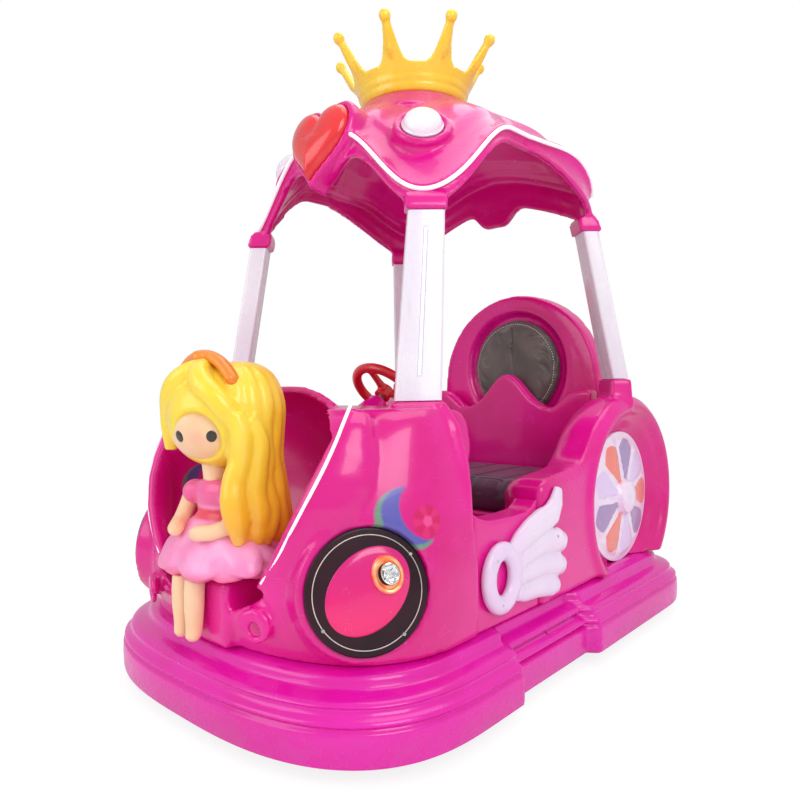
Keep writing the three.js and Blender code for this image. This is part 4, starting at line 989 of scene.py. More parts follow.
def pad_press(p):
    radius = math.hypot(p.y, p.z - PAD_Z)
    front = smooth(p.x, pad_x + 0.014, pad_x + 0.026)
    angle = math.atan2(p.z - PAD_Z, p.y)
    seam = math.exp(-((radius - SEAM_R) / 0.007) ** 2)
    within = smooth(SEAM_R - 0.006 - radius, 0, 0.01)
    fold = math.exp(-((p.y + 0.010 * math.sin((p.z - PAD_Z) * 9)) / 0.007) ** 2)
    fold *= within * smooth(p.z, PAD_Z - 0.12, PAD_Z)
    gather = 0.0030 * math.sin(angle * 13 + 3 * math.sin(radius * 40)) * smooth(radius, 0.02, 0.08) * within
    rise = 0.012 * math.cos(min(1.0, radius / SEAM_R) * math.pi / 2)
    return Vector((front * (rise - 0.007 * seam - 0.011 * fold + gather), 0, 0))


pad_form = press(pad_form, pad_press)
for vertex in pad_form.verts:
    vertex.co.x = min(max(vertex.co.x, pad_x + 0.0006), SEAT_REAR - 0.0012)
pad = settle("seat_back_pad_cover", pad_form, back_vinyl, ["seat_back_pad"], 80)


def on_cover(cover, points, outward, lift=0.0006):
    """Drops points on to a cover along a direction, so that thread lies on it."""
    bpy.context.view_layer.update()
    found = []
    for point in points:
        hit, where = cover.ray_cast(Vector(point) + Vector(outward) * 0.1, -Vector(outward))[:2]
        if hit:
            found.append(where + Vector(outward) * lift)
    return found


ring_line = [(pad_x, SEAM_R * math.cos(a), PAD_Z + SEAM_R * math.sin(a))
             for a in [2 * math.pi * i / 180 for i in range(181)]]
settle("seat_back_pad_stitches", stitches(on_cover(pad, ring_line, (1, 0, 0)), (1, 0, 0), 0.0105, 0.0062, 0.0019),
       thread_white, weld=0)
front_line = [(CUSHION_SEAM_X - 0.006, -0.32 + 0.01 * i, 0.5) for i in range(65)]
settle("seat_cushion_stitches", stitches(on_cover(cushion, front_line, (0, 0, 1)), (0, 0, 1), 0.009, 0.005, 0.0008),
       thread_white, weld=0)

# ------------------------------------------------------------------ posts
# Four tapered posts of milk-white plastic carry the canopy. The outward face of each has a groove with round ends, and
# a strip of small lamps lies in it behind a clear cover.


def milk_plastic(name, colour, deep, roughness=0.22):
    material, at = new_finish(name, Coat_Weight=0.45, Coat_Roughness=0.08, Subsurface_Weight=0.15,
                              Subsurface_Scale=0.03)
    cloud, grime = at.speckle(4.0, 3.0), at.speckle(26.0, 6.0, (1, 1, 0.35))
    paint = cloud.above(0.3, 0.7).blend(deep, colour)
    return feed(material, Base_Color=(grime.above(0.6, 0.76) * 0.3).blend(paint, rgb(0.62, 0.57, 0.62)),
                Roughness=grime * 0.2 + (roughness - 0.05), relief=(at.speckle(60.0, 2.0), 0.0005))


def lamp_strip(name, pitch, axis=2):
    """A clear flexible strip with a small lamp at every pitch, lit cool white."""
    material, at = new_finish(name, Roughness=0.25, Emission_Strength=0.35)
    x, y, z = at.axes()
    walk = (z if axis == 2 else x + y + z) * (1 / pitch)
    dot = 1 - walk.math("ABSOLUTE", walk.math("FRACT", walk) - 0.5).above(0.12, 0.22)
    glow = dot.blend(rgb(0.80, 0.80, 0.92), rgb(1.0, 1.0, 0.95))
    return feed(material, Base_Color=glow, Emission_Color=glow, relief=(dot, 0.0006))


white_plastic = milk_plastic("white_plastic", rgb(0.86, 0.83, 0.90), rgb(0.80, 0.73, 0.84))
post_lamps = lamp_strip("post_lamps", 0.0085)
post_set = [(f"{end}_post_{side}", foot, head, facing, sign) for end, foot, head, facing in [
    ("front", front_foot, front_head, FRONT_FACING), ("rear", rear_foot, rear_head, REAR_FACING)] for side,
            sign in SIDES]
for post_name, foot, head, facing, sign in post_set:
    post = loft([post_ring(foot + Vector((0, 0, 0.0004)), POST_FOOT_W, POST_T, facing),
                              post_ring(head - Vector((0, 0, 0.0004)), POST_HEAD_W, POST_T, facing)], cap=True)
    long_edges = [e for e in post.edges if abs((e.verts[0].co - e.verts[1].co).z) > 0.2]
    bmesh.ops.bevel(post, geom=long_edges, offset=0.008, offset_type="OFFSET", segments=4, profile=0.5,
                    affect="EDGES", material=-1)
    out = polar(1, facing, 0)
    face_at = [foot.lerp(head, share) + out * POST_T / 2 for share in (0.13, 0.90)]
    groove = tube([face_at[0].lerp(face_at[1], i / 8) for i in range(9)], 0.0062, 20)
    strip = tube([face_at[0].lerp(face_at[1], i / 40) - out * 0.0016 for i in range(41)], 0.0042, 12)
    ends = [peg(p - out * 0.004, p + out * 0.0008, 0.0085, 0.0075, 24) for p in face_at]
    parts = cut(groove)
    if sign < 0:
        post, parts = mirror_form(post), [(how, mirror_form(form)) for how, form in parts]
        strip, ends = mirror_form(strip), [mirror_form(end) for end in ends]
    settle(post_name + "_shell", cast(post, parts), white_plastic, [post_name], 35)
    settle(post_name + "_lamps", strip, post_lamps, crease=60)
    for number, end in enumerate(ends):
        settle(f"{post_name}_lamp_cap_{number}", end, white_plastic, crease=40)

# ------------------------------------------------------------------ canopy
# A domed glass-fibre roof hangs low at its four corners over the posts and arches between them. It has a scalloped
# edge with a lobe in the middle of each end, sockets for the posts, round pods for the lamps and a heart-shaped frame.
CANOPY_TOP, CANOPY_WALL, ARCH_TOP, CANOPY_STEPS = 1.728, 0.014, 1.500, 200


def eased(share):
    return (1 - math.cos(math.pi * min(1.0, share))) / 2


def edge_radius(angle):
    back = max(0.0, -math.cos(angle))
    half = 0.402 + 0.078 * min(1.0, back * 3)
    side = 0.432 + 0.050 * back ** 0.7
    return (abs(math.cos(angle) / half) ** 5.2 + abs(math.sin(angle) / side) ** 5.2) ** (-1 / 5.2)


def arch_height(angle):
    r = edge_radius(angle)
    corner = front_head if math.cos(angle) > 0 else rear_head
    away = math.hypot(abs(r * math.cos(angle)) - abs(corner.x), abs(r * math.sin(angle)) - corner.y)
    low = corner.z + (0.018 if corner.x > 0 else 0.022)
    return low + (ARCH_TOP - low) * (eased(away / 0.290)
                                     if corner.x > 0 else 1 - (1 - min(1.0, away / 0.420)) ** 1.6)


def edge_height(angle):
    y = edge_radius(angle) * math.sin(angle)
    if math.cos(angle) > 0.7:
        return arch_height(angle) - 0.100 * math.exp(-(y / 0.095) ** 2)
    return arch_height(angle) - (0.075 * math.exp(-(y / 0.084) ** 4) if math.cos(angle) < -0.7 else 0.0)


def shoulder(angle):
    return arch_height(angle) + 0.052 + 0.060 * eased(max(0.0, -edge_radius(angle) * math.cos(angle)) / 0.300)


def roof_height(angle, share):
    return CANOPY_TOP - (CANOPY_TOP - shoulder(angle)) * share ** 2.3


def canopy_ring(share, lift=0.0, pull=0.0):
    fold = 0.014 * smooth(share, 0.80, 0.84) * (1 - smooth(share, 0.93, 1.0))
    return [polar(max(share * edge_radius(angle) - pull, 0.001), angle, roof_height(angle, share) - fold - lift)
            for angle in circle(CANOPY_STEPS)]


def valance_ring(share, proud, pull=0.0):
    return [polar(edge_radius(angle) + proud - pull, angle,
                  shoulder(angle) + (edge_height(angle) - shoulder(angle)) * share)
            for angle in circle(CANOPY_STEPS)]


shares = [0.02, 0.15, 0.28, 0.38, 0.47, 0.55, 0.62, 0.68, 0.74, 0.79, 0.82, 0.85, 0.88, 0.92, 0.96, 0.99]
valance = [(0.0, 0.003), (0.06, 0.007), (0.14, 0.008), (0.20, 0.002), (0.28, -0.004), (0.45, -0.005),
           (0.65, -0.001),
           (0.82, 0.004), (0.93, 0.009), (1.0, 0.009)]
canopy_rings = [canopy_ring(s) for s in shares] + [valance_ring(s, p) for s, p in valance]
canopy_rings += [valance_ring(s, min(p, 0.0), CANOPY_WALL) for s, p in valance[::-1]]
canopy_rings += [canopy_ring(s, CANOPY_WALL, CANOPY_WALL if s > 0.9 else 0.0) for s in shares[::-1]]
canopy = loft(canopy_rings, cap=True)
# the room under the roof, halfway into its wall, so that pods and frame stay outside it
under_room = loft([canopy_ring(s, CANOPY_WALL / 2) for s in shares]
                  + [valance_ring(0.5, 0, CANOPY_WALL / 2)]
                  + [[Vector((p.x, p.y, 1.15)) for p in valance_ring(1.0, 0, CANOPY_WALL / 2)]], cap=True)


def heart_line(size, steps=14):
    """A heart outline as (across, up) points."""
    s = size / 100
    spans = [((0, -56), (-14, -34), (-58, -12), (-52, 26)), ((-52, 26), (-46, 56), (-12, 56), (0, 34)),
             ((0, 34), (12, 56), (46, 56), (52, 26)), ((52, 26), (58, -12), (14, -34), (0, -56))]
    line = []
    for a, b, c, d in spans:
        for i in range(steps):
            t = i / steps
            line.append(tuple(s * ((1 - t) ** 3 * a[k] + 3 * t * (1 - t) ** 2 * b[k] + 3 * t * t * (1 - t) * c[k]
                                   + t ** 3 * d[k])
                              for k in (0, 1)))
    return line


heart_at, HEART_TILT, HEART_SIZE = Vector((0.412, 0, 1.520)), 0.30, 0.210
heart_out = Vector((math.cos(HEART_TILT), 0, math.sin(HEART_TILT)))
heart_up = Vector((-math.sin(HEART_TILT), 0, math.cos(HEART_TILT)))


def heart_ring(size, forward, crease=0.0):
    return [heart_at + Vector((0, 1, 0)) * a + heart_up * b + heart_out
            * (forward - crease * math.exp(-(a / 0.02) ** 2) * (b > 0))
            for a, b in heart_line(size)]


heart_frame = loft([heart_ring(HEART_SIZE + 0.030, -0.070), heart_ring(HEART_SIZE + 0.036, 0.0),
                                 heart_ring(HEART_SIZE + 0.030, 0.012), heart_ring(HEART_SIZE + 0.018, 0.016)],
                   cap=True)
heart_seat = loft([heart_ring(HEART_SIZE + 0.004, 0.002), heart_ring(HEART_SIZE + 0.004, 0.080)], cap=True)
dome_out = Vector((0.56, 0.54, 0.63)).normalized()
DOME_R, POD_TOP = 0.058, 0.012
DOME_X, DOME_Y = 0.286, 0.275
dome_angle = math.atan2(DOME_Y, DOME_X)
dome_share = math.hypot(DOME_X, DOME_Y) / edge_radius(dome_angle)
dome_at = Vector((DOME_X, DOME_Y, roof_height(dome_angle, dome_share) + 0.0135))
dome_pod = peg(dome_at - dome_out * 0.050, dome_at + dome_out * (POD_TOP - 0.006), 0.096, 0.078)
pod_turn = along(dome_out)
pod_ring = hoop(lambda across, up, out: dome_at + pod_turn @ Vector((across, up, 0.008 + out)),
                0.072, 0.072, 0.011, 0.011, 48, 12)
dome_room = peg(dome_at + dome_out * (POD_TOP - 0.002), dome_at + dome_out * 0.10, DOME_R + 0.003, DOME_R + 0.010)
crown_pad = peg((0, 0, CANOPY_TOP - 0.060), (0, 0, CANOPY_TOP + 0.006), 0.240, 0.170, 96)


def head_socket(head, facing):
    lean = Vector((-0.010 if head.x > 0 else 0.010, -0.010, 0.052))
    return loft([post_ring(head, POST_HEAD_W + 0.012, POST_T + 0.016, facing),
                              post_ring(head + lean * 0.30, POST_HEAD_W + 0.014, POST_T + 0.018, facing),
                              post_ring(head + lean * 0.70, POST_HEAD_W + 0.014, POST_T + 0.014, facing),
                              post_ring(head + lean, POST_HEAD_W + 0.006, POST_T - 0.004, facing)], cap=True)


front_socket, rear_socket = head_socket(front_head, FRONT_FACING), head_socket(rear_head, REAR_FACING)
pods = cast(heart_frame, join(*twins(dome_pod, pod_ring)) + cut(under_room))
canopy = cast(canopy, join(pods, *twins(front_socket, rear_socket), crown_pad) + cut(heart_seat, *twins(dome_room)),
              grain=0.0066, rounds=5)
settle("canopy_roof", canopy, shell_pink, ["canopy"], 80)

edge_lamps = lamp_strip("edge_lamps", 0.009, 0)
for side, sign in SIDES:
    line = [polar(edge_radius(angle) + 0.0085, sign * angle, shoulder(angle) - 0.012)
            for angle in [math.radians(13 + 154 * k / 160) for k in range(161)]]
    settle(f"canopy_lamps_{side}", tube(line, 0.0058, 12), edge_lamps, crease=60)

# ------------------------------------------------------------------ heart, roof lamps and crown
# A puffed red heart is screwed in its frame, two milky domes cover the roof lamps, and a blow-moulded crown with eight
# ball-tipped spikes stands on the flat top of the roof.


def gloss_plastic(name, colour, deep, roughness=0.2, scatter=0.0):
    material, at = new_finish(name, Coat_Weight=0.5, Coat_Roughness=0.06, Subsurface_Weight=scatter,
                              Subsurface_Scale=0.02)
    cloud, scuff = at.speckle(7.0, 3.0), at.speckle(60.0, 6.0)
    return feed(material, Base_Color=cloud.above(0.3, 0.72).blend(deep, colour),
                Roughness=scuff.above(0.55, 0.75) * 0.16 + cloud * 0.06 + (roughness - 0.03),
                relief=(at.speckle(90.0, 3.0), 0.0006))


heart_red = gloss_plastic("heart_red", rgb(0.88, 0.035, 0.04), rgb(0.72, 0.012, 0.02))
crown_yellow = gloss_plastic("crown_yellow", rgb(1.0, 0.74, 0.05), rgb(0.99, 0.60, 0.025), 0.25, 0.12)
lamp_milk = gloss_plastic("lamp_milk", rgb(0.92, 0.88, 0.96), rgb(0.86, 0.76, 0.92), 0.15, 0.3)
screw_steel = zinc_plate("screw_steel")


def screw(at, outward, radius=0.0045, turn=0.4):
    """A pan-head screw with a crossed slot, sitting on a surface."""
    form = bmesh.new()
    bmesh.ops.create_cone(form, segments=20, radius1=radius, radius2=radius * 0.75, depth=radius * 0.7,
                          cap_ends=True,
                          matrix=Matrix.Translation((0, 0, radius * 0.2)))
    bars = []
    for angle in (turn, turn + math.pi / 2):
        bar = bmesh.new()
        bar_at = Matrix.Translation((0, 0, radius * 0.62)) @ Matrix.Rotation(angle, 4, "Z")
        bmesh.ops.create_cube(bar, size=1,
                              matrix=bar_at @ Matrix.Diagonal((radius * 1.15, radius * 0.24, radius * 0.45, 1)))
        bars += cut(bar)
    return moved(cast(form, bars), Matrix.Translation(Vector(at)) @ along(outward))


def gather_up(forms):
    """Puts several forms in one."""
    whole = bmesh.new()
    for form in forms:
        mesh = bpy.data.meshes.new("part")
        form.to_mesh(mesh)
        whole.from_mesh(mesh)
        bpy.data.meshes.remove(mesh)
        form.free()
    return whole


heart_rings = [heart_ring(HEART_SIZE * s, h, c) for s, h, c in [
    (1.0, 0.0026, 0), (1.0, 0.014, 0), (0.985, 0.021, 0.001), (0.95, 0.0275, 0.003), (0.88, 0.034, 0.006),
    (0.76, 0.0405, 0.008),
    (0.60, 0.045, 0.009), (0.42, 0.048, 0.008), (0.22, 0.0495, 0.005), (0.03, 0.050, 0.003)]]
settle("heart_badge_puff", loft(heart_rings, cap=True), heart_red, ["heart_badge"], 60)

dome_profile = [(0.0005, 0.0), (DOME_R, 0.0), (DOME_R, 0.004), (DOME_R - 0.003, 0.006)]
dome_profile += [((DOME_R - 0.004) * math.cos(t), 0.006 + 0.037 * math.sin(t))
                 for t in [math.pi / 2 * i / 16 for i in range(1, 16)]]
dome_profile += [(0.0005, 0.043)]
for side, sign in SIDES:
    dome = moved(turn_on(dome_profile), Matrix.Translation(dome_at + dome_out * (POD_TOP + 0.0003))
                 @ along(dome_out)
                 @ Matrix.Rotation(math.pi / 2, 4, "X"))
    dome = mirror_form(dome) if sign < 0 else dome
    settle(f"lamp_dome_{side}_lens", dome, lamp_milk, [f"lamp_dome_{side}"], 50)

SPIKES, CROWN_FOOT, CROWN_H, CROWN_R, TIP_R, SLICES = 8, CANOPY_TOP + 0.0063, 0.188, 0.166, 0.265, 36


def crown_ring(level, inward):
    ring = []
    for k, angle in enumerate(circle(SPIKES * SLICES)):
        near = 1 - abs((k / SLICES + 0.5) % 1 - 0.5) * 2
        up = level * (0.41 + 0.59 * min(1.0, near / 0.9) ** 4.2)
        r = CROWN_R + (TIP_R - CROWN_R) * up ** 1.3 - inward
        ring.append(polar(r, angle + math.pi / SPIKES, CROWN_FOOT + CROWN_H * up))
    return ring


def band_ring(z, proud):
    r = CROWN_R + (TIP_R - CROWN_R) * (z / CROWN_H) ** 1.3 + proud
    return [polar(r, math.pi / SPIKES + t, CROWN_FOOT + z) for t in circle(SPIKES * SLICES)]


levels = [0.62, 0.70, 0.78, 0.86, 0.93, 1.0]
crown_rings = [band_ring(z, p) for z, p in [(0, 0.0), (0.010, 0.004), (0.020, 0.004), (0.023, 0.0), (0.027, 0.0),
                                            (0.030, 0.003), (0.040, 0.003), (0.043, 0.0)]]
crown_rings += [crown_ring(level, 0) for level in levels] + [crown_ring(level, 0.014) for level in levels[::-1]]
crown_rings += [band_ring(z, -0.015) for z in (0.040, 0.020, 0.0)]
crown = loft(crown_rings, close=True)
tips = []
for angle in circle(SPIKES):
    outward = polar(1, math.pi / SPIKES + angle, 0)
    tips += join(egg(outward * (TIP_R - 0.006) + Vector((0, 0, CROWN_FOOT + CROWN_H - 0.001)),
                     (0.0185, 0.0185, 0.0195), 0, 12))
    spine = [outward * (CROWN_R - 0.006 + (TIP_R - CROWN_R) * u ** 1.3) + Vector((0, 0, CROWN_FOOT + CROWN_H * u))
             for u in (0.48, 0.6, 0.75, 0.9, 0.98)]
    tips += join(tube(spine, [0.010, 0.0165, 0.0155, 0.013, 0.011], 12))
crown = cast(crown, tips, grain=0.005, rounds=4)
settle("crown_moulding", crown, crown_yellow, ["crown"], 80)

# ------------------------------------------------------------------ dash, steering wheel and headlamps
# The dash is a rolled shelf behind the bonnet with a fairing round the column. The wheel is one red moulding. Each
# headlamp is a black disc with a wire trim, a speckled pink egg and a small lamp in a copper ring.
wheel_at, WHEEL_TILT = Vector((0.160, 0, 0.810)), math.pi / 4
column_down = Vector((math.sin(WHEEL_TILT), 0, -math.cos(WHEEL_TILT)))
wheel_up = Vector((math.cos(WHEEL_TILT), 0, math.sin(WHEEL_TILT)))
DASH_FRONT = NOSE_REAR - 0.0003
dash_line = [(DASH_FRONT, 0.600), (DASH_FRONT, 0.765), (0.330, 0.765), (0.290, 0.762), (0.262, 0.753),
             (0.243, 0.736), (0.231, 0.712),
             (0.224, 0.680), (0.222, 0.645), (0.228, 0.618), (0.240, 0.600)]
dash = cast(side_slab(dash_line, -0.380, 0.380),
            cut(side_slab([(0.42, 0.50), (0.42, 0.751), (0.305, 0.751), (0.262, 0.738), (0.240, 0.70),
                           (0.238, 0.50)],
                          -0.366, 0.366))
            + join(peg(wheel_at + column_down * 0.042, wheel_at + column_down * 0.150, 0.030, 0.062))
            + cut(slab(DASH_FRONT, 0.6, -1, 1, 0, 2),
                  peg(wheel_at - column_down * 0.06, wheel_at + column_down * 0.42, 0.0135, 0.0135, 32)),
            grain=0.0075, rounds=4)
settle("dash_panel_moulding", dash, shell_pink, ["dash_panel"], 80)

wheel_red = gloss_plastic("wheel_red", rgb(0.78, 0.022, 0.030), rgb(0.56, 0.008, 0.016), 0.3)
wheel_turn = along(-column_down)
ring_form = hoop(lambda *point: Vector(point), 0.103, 0.103, 0.0155, 0.0155, 72)
up_here = wheel_turn.inverted() @ wheel_up
spokes = []
for turn in (0, 2 * math.pi / 3, -2 * math.pi / 3):
    way = Matrix.Rotation(turn, 3, "Z") @ up_here
    spokes += join(tube([way * 0.015, way * 0.045, way * 0.075, way * 0.102], [0.014, 0.011, 0.0105, 0.012], 16))
spokes += join(peg((0, 0, -0.026), (0, 0, 0.012), 0.026, 0.024, 40))
wheel_form = moved(cast(ring_form, spokes, grain=0.0028, rounds=5), Matrix.Translation(wheel_at) @ wheel_turn)
settle("steering_wheel_grip", wheel_form, wheel_red, ["steering_wheel"], 80,
       body="steering")

lamp_face = lamp_at + lamp_out * (POD_REACH + 0.0003)
lamp_side = Vector((-lamp_out.y, lamp_out.x, 0)).normalized()
lamp_top = lamp_out.cross(-lamp_side).normalized()
lamp_top = lamp_top if lamp_top.z > 0 else -lamp_top
lamp_black = gloss_plastic("lamp_black", rgb(0.030, 0.005, 0.012), rgb(0.016, 0.003, 0.007), 0.38)
lamp_black.node_tree.nodes["Principled BSDF"].inputs["Coat Weight"].default_value = 0.1
lamp_black.node_tree.nodes["Principled BSDF"].inputs["Specular IOR Level"].default_value = 0.25
trim_wire = gloss_plastic("trim_wire", rgb(0.72, 0.60, 0.58), rgb(0.5, 0.42, 0.42), 0.3)
egg_pink, egg_at = new_finish("egg_pink", Coat_Weight=0.35, Coat_Roughness=0.08)
grains = egg_at.speckle(420.0, 2.0).above(0.62, 0.70) * egg_at.speckle(24.0, 3.0).above(0.50, 0.66)
# the egg is mixed to a darker pink over its upper part: painted shade from the pod's lip above it
shade = egg_at.axes()[2].above(0.30, 0.45)
egg_pink_painted_shade = shade.blend(rgb(0.88, 0.008, 0.17), rgb(0.70, 0.003, 0.20))
feed(egg_pink, Base_Color=(grains * 0.45).blend(egg_pink_painted_shade, rgb(0.96, 0.40, 0.50)),
     Roughness=grains * 0.2 + 0.2, relief=(grains, 0.0003))
# the copper ring is given a faint glow in its own warm colour: a painted glow, since the ring itself is no lamp
copper_painted_glow, copper_at = new_finish("copper_ring", Metallic=0.6, Roughness=0.3, Emission_Strength=0.25)
warm = copper_at.speckle(40.0, 3.0).above(0.3, 0.7).blend(rgb(0.90, 0.20, 0.07), rgb(0.98, 0.55, 0.30))
feed(copper_painted_glow, Base_Color=warm, Emission_Color=warm)
chrome, chrome_at = new_finish("lamp_chrome", Metallic=1.0)
chrome_tone = chrome_at.speckle(60.0, 2.0).above(0.4, 0.6).blend(rgb(0.75, 0.78, 0.80), rgb(0.9, 0.9, 0.9))
feed(chrome, Base_Color=chrome_tone, Roughness=chrome_at.speckle(90.0, 3.0) * 0.2 + 0.06)
BULB_SIDE, BULB_TOP, BULB_LEAN = 0.042, 0.036, math.radians(18)


def on_lamp(side, top, out):
    return lamp_face + lamp_side * side + lamp_top * top + lamp_out * out


def lamp_disc(profile, side=0.0, top=0.0, wide=1.0, tall=1.0, turn=0.0, steps=72):
    """A turned piece on the headlamp's face, its profile given as (radius, height) pairs."""
    frame_here = Matrix((lamp_side, lamp_top, lamp_out)).transposed().to_4x4()
    return moved(turn_on(profile, steps), Matrix.Translation(on_lamp(side, top, 0)) @ frame_here
                 @ Matrix.Rotation(turn, 4, "Z") @ Matrix.Diagonal((wide, tall, 1, 1))
                 @ Matrix.Rotation(math.pi / 2, 4, "X"))


for side, sign in SIDES:
    plate = lamp_disc([(0.0005, 0), (LAMP_R, 0), (LAMP_R, 0.005), (LAMP_R - 0.002, 0.0075),
                       (LAMP_R - 0.006, 0.0085), (0.060, 0.0085), (0.0005, 0.0085)])
    wire = lamp_disc([(0.1235 + 0.0012 * math.cos(t), 0.009 + 0.0012 * math.sin(t)) for t in circle(8)], steps=96)
    egg_face = lamp_disc([(0.0005, 0.004), (0.097, 0.004), (0.097, 0.010), (0.094, 0.0125), (0.080, 0.0155),
                          (0.050, 0.019), (0.020, 0.0205), (0.0005, 0.021)],
                         0, 0.003, 1.10, 0.86, math.radians(42))
    bulb_ring = lamp_disc([(0.024, 0.012), (0.040, 0.012), (0.041, 0.024), (0.0395, 0.030), (0.036, 0.0325),
                           (0.032, 0.031), (0.030, 0.024), (0.024, 0.020)], BULB_SIDE, BULB_TOP, 0.86, 1.04,
                          BULB_LEAN)
    bulb_well = lamp_disc([(0.0005, 0.012), (0.0305, 0.012), (0.0305, 0.020), (0.0005, 0.020)],
                          BULB_SIDE, BULB_TOP, 0.86, 1.04, BULB_LEAN)
    bulb_cup = lamp_disc([(0.0005, 0.019), (0.022, 0.019), (0.0235, 0.026), (0.0225, 0.032), (0.0205, 0.033),
                          (0.018, 0.029), (0.012, 0.026), (0.006, 0.0265),
                          (0.0005, 0.028)], BULB_SIDE + 0.004, BULB_TOP + 0.002, 0.90, 1.06, BULB_LEAN)
    blades = gather_up([tube([on_lamp(BULB_SIDE + 0.004 + 0.017 * k * math.cos(a),
                                      BULB_TOP + 0.002 + 0.017 * k * math.sin(a), 0.031 - 0.0015 * abs(k))
                              for k in (-1, 0, 1)], [0.0020, 0.0028, 0.0020], 10)
                        for a in (0.9, 0.9 + math.pi / 2)])
    lamp_screws = gather_up([screw(on_lamp(0.1245 * math.cos(a), 0.1245 * math.sin(a), 0.0095), lamp_out, 0.0048, a)
                             for a in (math.radians(36), math.radians(214), math.radians(308))])
    pieces_here = [("plate", plate, lamp_black), ("wire", wire, trim_wire), ("egg", egg_face, egg_pink),
                   ("ring", bulb_ring, copper_painted_glow), ("well", bulb_well, lamp_black), ("cup", bulb_cup, chrome),
                   ("blades", blades, chrome), ("screws", lamp_screws, screw_steel)]
    for part_name, form, paint in pieces_here:
        form = mirror_form(form) if sign < 0 else form
        slot, hides = ("headlamp_black", [f"headlamp_{side}"]) if part_name == "plate" else (None, [])
        settle(f"headlamp_{side}_{part_name}", form, paint, hides, 40)

# ------------------------------------------------------------------ wings
# A hollow white plastic wing is held to each side by three screws, below the doorway: four puffed feathers run back
# from an oval loop.
WING_Y = SILL_OUT + 0.004
feathers = [
    ([(0.252, 0.392), (0.215, 0.413), (0.165, 0.431), (0.110, 0.447), (0.068, 0.466), (0.042, 0.495),
      (0.026, 0.534)],
     [0.024, 0.031, 0.037, 0.039, 0.036, 0.028, 0.016]),
    ([(0.235, 0.352), (0.180, 0.374), (0.110, 0.388), (0.040, 0.389), (0.004, 0.376)],
     [0.023, 0.031, 0.036, 0.036, 0.027]),
    ([(0.235, 0.317), (0.180, 0.327), (0.110, 0.331), (0.040, 0.322), (0.008, 0.310)],
     [0.023, 0.030, 0.035, 0.034, 0.025]),
    ([(0.235, 0.282), (0.190, 0.276), (0.130, 0.276), (0.070, 0.268), (0.040, 0.260)],
     [0.020, 0.027, 0.031, 0.030, 0.022]),
]
wing_white = milk_plastic("wing_white", rgb(0.86, 0.74, 0.90), rgb(0.80, 0.62, 0.86), 0.2)
for side, sign in SIDES:
    loop = hoop(lambda across, up, out: Vector((0.302 + across, WING_Y + 0.010 + out, 0.338 + up)),
                0.058, 0.068, 0.025, 0.017, 64)
    plumes = join(*[tube([(x, WING_Y + 0.008 + (0.010 if x < 0.11 else 0), z) for x, z in line], radii, 20, 0.62)
                    for line, radii in feathers])
    plumes += cut(slab(-1, 0.102, 0, QUARTER_OUT - 0.004, 0, 1), slab(-1, 1, 0, SILL_OUT - 0.002, 0, 1))
    wing_form = cast(loop, plumes, grain=0.004, rounds=4)
    screws_at = [(0.343, WING_Y + 0.0245, 0.392), (0.322, WING_Y + 0.0245, 0.276), (0.060, WING_Y + 0.034, 0.404)]
    wing_screws = gather_up([screw(at, (0, 1, 0), 0.0042, at[0] * 9) for at in screws_at])
    if sign < 0:
        wing_form, wing_screws = mirror_form(wing_form), mirror_form(wing_screws)
    settle(f"wing_{side}_feathers", wing_form, wing_white, [f"wing_{side}"], 80)
    settle(f"wing_{side}_screws", wing_screws, screw_steel, crease=30)

# ------------------------------------------------------------------ doll
# A generic seated doll rides on the nose: a blow-moulded figure with a round head, dot eyes, long plain yellow hair
# with a hairband, and a pink dress with a petalled skirt. It is glued to its perch.
skin_paint, skin_at = new_finish("doll_skin", Subsurface_Weight=0.2, Subsurface_Scale=0.02, Coat_Weight=0.2,
                                 Coat_Roughness=0.2)
skin_x, skin_y, skin_z = skin_at.axes()
from_cheek = ((skin_y.math("ABSOLUTE", skin_y) - 0.055) ** 2.0 + (skin_z - 0.712) ** 2.0) ** 0.5
blush = (1 - from_cheek.above(0.004, 0.028)) * skin_x.above(0.82, 0.85)
skin_tone = skin_at.speckle(9.0, 3.0).above(0.3, 0.7).blend(rgb(0.95, 0.60, 0.36), rgb(0.97, 0.68, 0.45))
feed(skin_paint, Base_Color=(blush * 0.35).blend(skin_tone, rgb(0.95, 0.35, 0.28)),
     Roughness=skin_at.speckle(60.0, 3.0) * 0.12 + 0.38,
     relief=(skin_at.speckle(130.0, 2.0), 0.0004))
dress_paint, dress_at = new_finish("doll_dress", Subsurface_Weight=0.15, Subsurface_Scale=0.02, Coat_Weight=0.25,
                                   Coat_Roughness=0.15)
dress_z = dress_at.axes()[2]
dress_tone = dress_at.speckle(11.0, 3.0).above(0.35, 0.7).blend(rgb(0.96, 0.24, 0.54), rgb(0.98, 0.38, 0.68))
dress_tone = (1 - dress_z.above(0.378, 0.41)).blend(dress_tone, rgb(0.93, 0.15, 0.36))
sash = dress_z.above(0.502, 0.512) * (1 - dress_z.above(0.528, 0.540))
dress_tone = sash.blend(dress_tone, rgb(0.86, 0.06, 0.12))
dress_tone = dress_z.above(0.535, 0.548).blend(dress_tone, rgb(0.88, 0.12, 0.36))
feed(dress_paint, Base_Color=dress_tone, Roughness=dress_at.speckle(50.0, 3.0) * 0.12 + 0.26,
     relief=(dress_at.speckle(80.0, 2.0), 0.0005))
hair_paint, hair_at = new_finish("doll_hair", Subsurface_Weight=0.2, Subsurface_Scale=0.03, Coat_Weight=0.3,
                                 Coat_Roughness=0.15)
hair_x, _, hair_z = hair_at.axes()
strands = hair_at.speckle(20.0, 4.0, (1, 1, 0.2))
